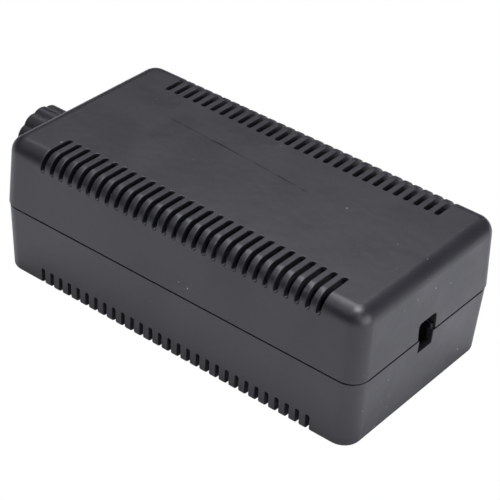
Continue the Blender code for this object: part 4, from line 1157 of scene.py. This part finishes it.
@dataclass
class ControlKnob:
    """The fluted knob on the control's shaft, in the shaft's own frame and then turned into place."""

    finishes: Finishes
    lobes: int = 13
    steps_per_lobe: int = 12
    radius: float = 11.34 * MM
    groove_radius: float = 10.75 * MM
    back: float = 0.9 * MM
    front: float = 17.0 * MM
    edge_round: float = 0.9 * MM
    recess_radius: float = 7.2 * MM
    recess_floor: float = 6.8 * MM
    bush_hole: float = 5.1 * MM
    face: float = 2.4 * MM
    face_steps: tuple[Pair, ...] = ((0.8 * MM, 0.0), (0.35 * MM, 0.35 * MM), (0.6 * MM, 0.15 * MM))
    grub_hole: float = 1.8 * MM
    grub_depth: float = 4.0 * MM
    pointer_half_width: float = 0.45 * MM
    pointer_length: float = 2.7 * MM

    def axis_matrix(self) -> Matrix:
        """Places the shaft's frame: its Z points out of the -X wall, its X points up."""
        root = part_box("control_knob")[1].x + self.back
        centre = (root, 0.0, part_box("top_shell")[1].z / 2)
        return Matrix.Translation(centre) @ Matrix.Rotation(-QUARTER, 4, "Y")

    def lobe_radius(self, angle: float) -> float:
        """Works out the fluted outline's radius.

        Args:
            angle: Angle round the axis, from the middle of the top lobe.

        Returns:
            Radius of the outline there.
        """
        half = math.pi / self.lobes
        off = (angle + half) % (2 * half) - half
        chord = self.groove_radius * math.sin(half)
        rise = self.radius - self.groove_radius * math.cos(half)
        bow = (chord**2 + rise**2) / (2 * rise)
        centre = self.radius - bow
        return centre * math.cos(off) + math.sqrt(bow**2 - (centre * math.sin(off)) ** 2)

    def build_body(self) -> bpy.types.Object:
        """Builds the knob itself.

        Returns:
            The finished piece.
        """
        bm = bmesh.new()
        count = self.lobes * self.steps_per_lobe
        ring = bmesh.ops.create_circle(bm, cap_ends=True, segments=count, radius=self.radius)["verts"]
        for vert in ring:
            angle = math.atan2(vert.co.y, vert.co.x)
            vert.co = Vector((math.cos(angle), math.sin(angle), 0.0)) * self.lobe_radius(angle)
            vert.co.z = self.back
        moved = bmesh.ops.extrude_face_region(bm, geom=bm.faces[:])["geom"]
        top = [item for item in moved if isinstance(item, bmesh.types.BMVert)]
        bmesh.ops.translate(bm, verts=top, vec=(0.0, 0.0, self.front - self.back))
        rim = [edge for edge in edges_of(top) if all(vert in top for vert in edge.verts)]
        round_edges(bm, rim, self.edge_round, 5)
        face = max(bm.faces, key=lambda face: face.calc_center_median().z)
        for thickness, depth in self.face_steps:
            bmesh.ops.inset_region(bm, faces=[face], thickness=thickness, depth=0.0, use_even_offset=True)
            bmesh.ops.translate(bm, verts=face.verts[:], vec=(0.0, 0.0, -depth))
        knob = as_object("control_knob_fluted", bm)
        bm = bmesh.new()
        add_rod(bm, (0.0, 0.0), self.recess_radius, -MM, self.recess_floor, 64)
        combine(knob, bm, Join.CUT)
        bm = bmesh.new()
        add_rod(bm, (0.0, 0.0), self.bush_hole, 0.0, self.front - self.face, 48)
        combine(knob, bm, Join.CUT)
        bm = bmesh.new()
        height = -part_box("top_shell")[1].x - axis_of(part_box("knob_grub_screw"))[0]
        rod = add_rod(bm, (0.0, 0.0), self.grub_hole, self.grub_depth, self.radius + 2 * MM, 24)
        down = Matrix.Translation((0.0, 0.0, height)) @ Matrix.Rotation(-QUARTER, 4, "Y")
        bmesh.ops.transform(bm, matrix=down, verts=rod)
        combine(knob, bm, Join.CUT)
        soften(knob, 0.12 * MM, 2, 40.0)
        knob.data.transform(self.axis_matrix())
        return dress(knob, self.finishes["knob_plastic"], "knob", "knob_plastic", "control_knob")

    def build_pointer(self) -> bpy.types.Object:
        """Inlays the painted pointer line, flush with the knob's front rim and over the top lobe.

        Returns:
            The finished piece.
        """
        half, high = self.pointer_half_width, self.groove_radius - self.edge_round
        low, base = high - self.pointer_length, self.front - self.edge_round
        bm = bmesh.new()
        verts = add_block(bm, (low, -half, base), (high, half, self.front - 0.02 * MM))
        upright = [edge for edge in edges_of(verts) if abs(edge.verts[0].co.z - edge.verts[1].co.z) > TINY]
        round_edges(bm, upright, half * 0.95, 5)
        pointer = as_object("knob_pointer", bm)
        pointer.data.transform(self.axis_matrix())
        return dress(pointer, self.finishes["pointer_paint"], "knob", "knob_plastic")

    def build(self) -> list[bpy.types.Object]:
        """Builds the knob's pieces."""
        return [self.build_body(), self.build_pointer()]


# ---------------------------------------------------------------- screws


@dataclass(frozen=True)
class PanScrew:
    """A turned pan-head screw with a cross recess and a rolled thread, made on Z with its head up."""

    head_radius: float
    head_height: float
    shank_radius: float
    length: float = 10.0 * MM
    thread_pitch: float = 0.8 * MM
    recess_taper: float = 0.6

    def profile(self) -> list[Pair]:
        """Draws the screw's half section: domed head, threaded shank, blunt point.

        Returns:
            Pairs of radius and height, from the head's middle to the point.
        """
        dome = [
            (self.head_radius * math.sin(angle), self.head_height * (0.45 + 0.55 * math.cos(angle)))
            for angle in (QUARTER * step / 8 for step in range(8))
        ]
        pairs = [*dome, (self.head_radius, self.head_height * 0.4), (self.head_radius * 0.98, 0.0)]
        root = self.shank_radius * 0.78
        height = -0.6 * MM
        pairs.append((root, 0.0))
        while height > self.thread_pitch * 2 - self.length:
            pairs += [(root, height), (self.shank_radius, height - self.thread_pitch * 0.42)]
            pairs.append((self.shank_radius, height - self.thread_pitch * 0.5))
            height -= self.thread_pitch
        pairs += [(root, height), (root * 0.5, -self.length), (0.0, -self.length)]
        return pairs

    def make(self, name: str, place: Matrix) -> bpy.types.Object:
        """Builds one screw.

        Args:
            name: Name of the piece.
            place: From the screw's own frame, its head's underside at the origin, to the case.

        Returns:
            The piece, without a finish.
        """
        bm = bmesh.new()
        add_spun(bm, self.profile(), 28)
        screw = as_object(name, bm)
        reach, half = self.head_radius * 0.62, self.head_radius * 0.13
        low, top = self.head_height * 0.4, self.head_height * 1.2
        for half_x, half_y in ((reach, half), (half, reach)):
            bm = bmesh.new()
            for vert in add_block(bm, (-half_x, -half_y, low), (half_x, half_y, top)):
                if vert.co.z < self.head_height:
                    vert.co.x *= self.recess_taper
                    vert.co.y *= self.recess_taper
            combine(screw, bm, Join.CUT)
        soften(screw, 0.05 * MM, 1, 50.0)
        screw.data.transform(place)
        return screw


@dataclass
class ScrewSet:
    """The case, board and device screws; each stands for its CAD screw."""

    finishes: Finishes
    slack: float = 0.05 * MM
    lean_step: float = 0.7

    def build(self) -> list[bpy.types.Object]:
        """Builds all twelve screws.

        Returns:
            The finished pieces.
        """
        up, down = Matrix.Identity(4), Matrix.Rotation(math.pi, 4, "X")
        to_sink = Matrix.Rotation(QUARTER, 4, "X")
        kinds = (
            ("case_screw", PanScrew(2.75 * MM, 2.15 * MM, 1.5 * MM), down, 2),
            ("board_screw", PanScrew(2.35 * MM, 1.55 * MM, 1.2 * MM), up, 2),
            ("device_screw", PanScrew(2.65 * MM, 1.95 * MM, 1.5 * MM), to_sink, 1),
        )
        pieces = []
        for kind, screw, turn, axis in kinds:
            head = screw.head_height + self.slack
            for number in SCREW_NUMBERS:
                node = f"{kind}_{number}"
                low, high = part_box(node)
                spot = (low + high) / 2
                spot[axis] = high[axis] - head if turn is up else low[axis] + head
                lean = Matrix.Rotation(self.lean_step * number, 4, "Z")
                place = Matrix.Translation(spot) @ turn @ lean
                fitted = replace(screw, length=high[axis] - low[axis] - head - self.slack)
                piece = fitted.make(f"{node}_threaded", place)
                pieces.append(dress(piece, self.finishes["zinc_steel"], "case", "zinc_steel", node))
        return pieces


# ---------------------------------------------------------------- board pieces


@dataclass
class AxialResistors:
    """Four small resistors that lie on the board beside the control chip."""

    finishes: Finishes
    count: int = 4
    pitch: float = 3.4 * MM
    body_radius: float = 1.15 * MM
    waist_radius: float = 0.95 * MM
    body_length: float = 6.2 * MM
    lead_radius: float = 0.28 * MM
    lead_span: float = 9.4 * MM
    row_start: float = 10.0 * MM
    row_y: float = 22.0 * MM
    board_gap: float = 0.35 * MM

    def body_profile(self) -> list[Pair]:
        """Draws the dog-bone half section of a resistor's body.

        Returns:
            Pairs of radius and height along the body.
        """
        half, cap = self.body_length / 2, 1.5 * MM
        upper = [
            (0.0, half),
            (self.body_radius * 0.6, half - 0.05 * MM),
            (self.body_radius, half - 0.5 * MM),
            (self.body_radius, half - cap + 0.3 * MM),
            (self.waist_radius, half - cap),
        ]
        return upper + [(radius, -height) for radius, height in reversed(upper)]

    def build(self) -> list[bpy.types.Object]:
        """Builds bodies and bent leads.

        Returns:
            The finished pieces.
        """
        board_low, board_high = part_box("circuit_board")
        middle_z = board_high.z + self.board_gap + self.body_radius
        pieces = []
        for index in range(self.count):
            centre = Vector((board_low.x + self.row_start + index * self.pitch, self.row_y, middle_z))
            place = Matrix.Translation(centre) @ Matrix.Rotation(QUARTER, 4, "X")
            bm = bmesh.new()
            add_spun(bm, self.body_profile(), 20, place)
            body = as_object(f"resistor_body_{index + 1}", bm)
            pieces.append(dress(body, self.finishes["resistor_coat"], "case", "black_epoxy"))
            pieces.append(self.build_lead(index + 1, centre, board_high.z))
        return pieces

    def build_lead(self, number: int, centre: Vector, board_top: float) -> bpy.types.Object:
        """Builds one resistor's lead: straight through the body and bent down to the board at both ends.

        Args:
            number: Number of the resistor.
            centre: Middle of its body.
            board_top: Height of the board's face.

        Returns:
            The finished piece.
        """
        curve = bpy.data.curves.new(f"resistor_lead_{number}", "CURVE")
        curve.dimensions = "3D"
        curve.bevel_depth = self.lead_radius
        curve.bevel_resolution = 2
        curve.use_fill_caps = True
        half, bend = self.lead_span / 2, 0.7 * MM
        foot = board_top + 0.05 * MM - centre.z
        points = [
            (0.0, -half, foot),
            (0.0, -half, -bend),
            (0.0, -half + 0.3 * bend, -0.3 * bend),
            (0.0, -half + bend, 0.0),
            (0.0, half - bend, 0.0),
            (0.0, half - 0.3 * bend, -0.3 * bend),
            (0.0, half, -bend),
            (0.0, half, foot),
        ]
        spline = curve.splines.new("POLY")
        spline.points.add(len(points) - 1)
        for point, spot in zip(spline.points, points):
            point.co = (*(centre + Vector(spot)), 1.0)
        wire = bpy.data.objects.new(f"resistor_wire_{number}", curve)
        bpy.context.scene.collection.objects.link(wire)
        bpy.context.view_layer.update()
        mesh = bpy.data.meshes.new_from_object(wire.evaluated_get(bpy.context.evaluated_depsgraph_get()))
        bpy.data.objects.remove(wire)
        bm = bmesh.new()
        bm.from_mesh(mesh)
        bpy.data.meshes.remove(mesh)
        bmesh.ops.remove_doubles(bm, verts=bm.verts, dist=TINY)
        lead = as_object(f"resistor_lead_{number}", bm)
        return dress(lead, self.finishes["zinc_steel"], "case", "zinc_steel")


# ---------------------------------------------------------------- studio


@dataclass(frozen=True)
class Softbox:
    """One rectangular studio light that faces the case."""

    name: str
    place: Triple
    size: Pair
    power: float
    colour: Colour = (0.935, 0.945, 1.0)

    def make(self) -> None:
        """Builds the light."""
        data = bpy.data.lights.new(self.name, "AREA")
        data.shape = "RECTANGLE"
        data.size, data.size_y = self.size
        data.energy = self.power
        data.color = self.colour
        light = bpy.data.objects.new(self.name, data)
        light.location = self.place
        aim = Vector((0.0, 0.0, 0.02)) - Vector(self.place)
        light.rotation_euler = aim.to_track_quat("-Z", "Y").to_euler()
        light.visible_camera = False
        bpy.context.scene.collection.objects.link(light)


@dataclass
class Studio:
    """White floor and surround, softboxes and the camera."""

    floor_size: float = 6.0
    covered: Pair = (56.0 * MM, 27.0 * MM)
    surround: float = 0.02
    lens: float = 128.3
    camera_place: Triple = (0.2526, -0.3423, 0.3113)
    camera_right: Triple = (0.7796, 0.6231, 0.0633)
    camera_back: Triple = (0.4862, -0.6658, 0.5659)

    def build_camera(self) -> None:
        """Places the camera: above the near end corner, with a long lens."""
        data = bpy.data.cameras.new("camera")
        data.lens = self.lens
        data.sensor_width = 36.0
        camera = bpy.data.objects.new("camera", data)
        right = Vector(self.camera_right).normalized()
        back = Vector(self.camera_back).normalized()
        up = back.cross(right).normalized()
        right = up.cross(back).normalized()
        turn = Matrix((right, up, back)).transposed().to_4x4()
        camera.matrix_world = Matrix.Translation(self.camera_place) @ turn
        bpy.context.scene.collection.objects.link(camera)
        bpy.context.scene.camera = camera

    def build_floor(self) -> None:
        """Lays a pale floor that is white to the eye and lit like paper for the case's reflections."""
        bm = bmesh.new()
        bmesh.ops.create_grid(bm, x_segments=1, y_segments=1, size=self.floor_size / 2)
        floor = as_object("floor", bm)
        floor.data.transform(Matrix.Translation((0.0, 0.0, -0.05 * MM)))
        material = bpy.data.materials.new("white_paper")
        material.use_nodes = True
        material.node_tree.nodes.clear()
        graph = Graph(material.node_tree)
        paper = graph.node("ShaderNodeBsdfDiffuse", {"Color": (0.8, 0.8, 0.81, 1.0)})
        white = graph.node("ShaderNodeEmission", {"Color": (1.0, 1.0, 1.0, 1.0), "Strength": 1.0})
        place = graph.node("ShaderNodeTexCoord").outputs["Object"]
        x, y, _ = graph.node("ShaderNodeSeparateXYZ", {"Vector": place}).outputs
        beside = graph.math("GREATER_THAN", graph.math("ABSOLUTE", x), self.covered[0])
        across = graph.math("GREATER_THAN", graph.math("ABSOLUTE", y), self.covered[1])
        clear = graph.math("MAXIMUM", beside, across)
        seen = graph.node("ShaderNodeLightPath").outputs["Is Camera Ray"]
        lit = graph.math("MULTIPLY", seen, clear)
        mixed = graph.node("ShaderNodeMixShader", {0: lit, 1: paper.outputs[0], 2: white.outputs[0]})
        below = graph.node("ShaderNodeNewGeometry").outputs["Backfacing"]
        open_below = graph.node(
            "ShaderNodeMixShader",
            {0: below, 1: mixed.outputs[0], 2: graph.node("ShaderNodeBsdfTransparent").outputs[0]},
        )
        graph.node("ShaderNodeOutputMaterial", {"Surface": open_below.outputs[0]})
        floor.data.materials.append(material)
        floor.visible_shadow = False

    def build_surround(self) -> None:
        """Makes the surround white to the eye and dimmer as a light."""
        world = bpy.data.worlds.new("surround")
        bpy.context.scene.world = world
        world.use_nodes = True
        world.node_tree.nodes.clear()
        graph = Graph(world.node_tree)
        dim = graph.node("ShaderNodeBackground", {"Color": (0.94, 0.96, 1.0, 1.0), "Strength": self.surround})
        white = graph.node("ShaderNodeBackground", {"Color": (1.0, 1.0, 1.0, 1.0), "Strength": 1.0})
        seen = graph.node("ShaderNodeLightPath").outputs["Is Camera Ray"]
        mixed = graph.node("ShaderNodeMixShader", {0: seen, 1: dim.outputs[0], 2: white.outputs[0]})
        graph.node("ShaderNodeOutputWorld", {"Surface": mixed.outputs[0]})

    def build_lights(self) -> None:
        """Hangs the softboxes."""
        for box in (
            Softbox("overhead", (0.0, 0.0, 1.3), (0.6, 0.6), 17.5),
            Softbox("back_left", (-0.4, 0.5, 1.1), (0.6, 0.6), 6.3),
            Softbox("end_fill", (1.3, 0.0, 0.4), (1.2, 0.9), 14.5),
            Softbox("edge_spark", (-0.35, -0.55, 0.85), (0.3, 0.3), 0.9),
            Softbox("corner_spark", (0.55, -0.45, 0.62), (0.16, 0.16), 0.7),
            Softbox("under_fill", (0.0, 0.0, -1.2), (0.8, 0.8), 9.0),
        ):
            box.make()

    def build(self) -> None:
        """Builds the whole studio and sets plain colour rendering."""
        self.build_camera()
        self.build_floor()
        self.build_surround()
        self.build_lights()
        bpy.context.scene.view_settings.view_transform = "Standard"


# ---------------------------------------------------------------- whole


def main() -> None:
    """Builds every part of the scene in order."""
    logging.basicConfig(level=logging.INFO, format="%(message)s")
    Studio().build()
    finishes = Finishes()
    Case(finishes).build()
    ControlKnob(finishes).build()
    ScrewSet(finishes).build()
    AxialResistors(finishes).build()
    finishes.dress_cad_nodes()


if __name__ == "__main__":
    main()
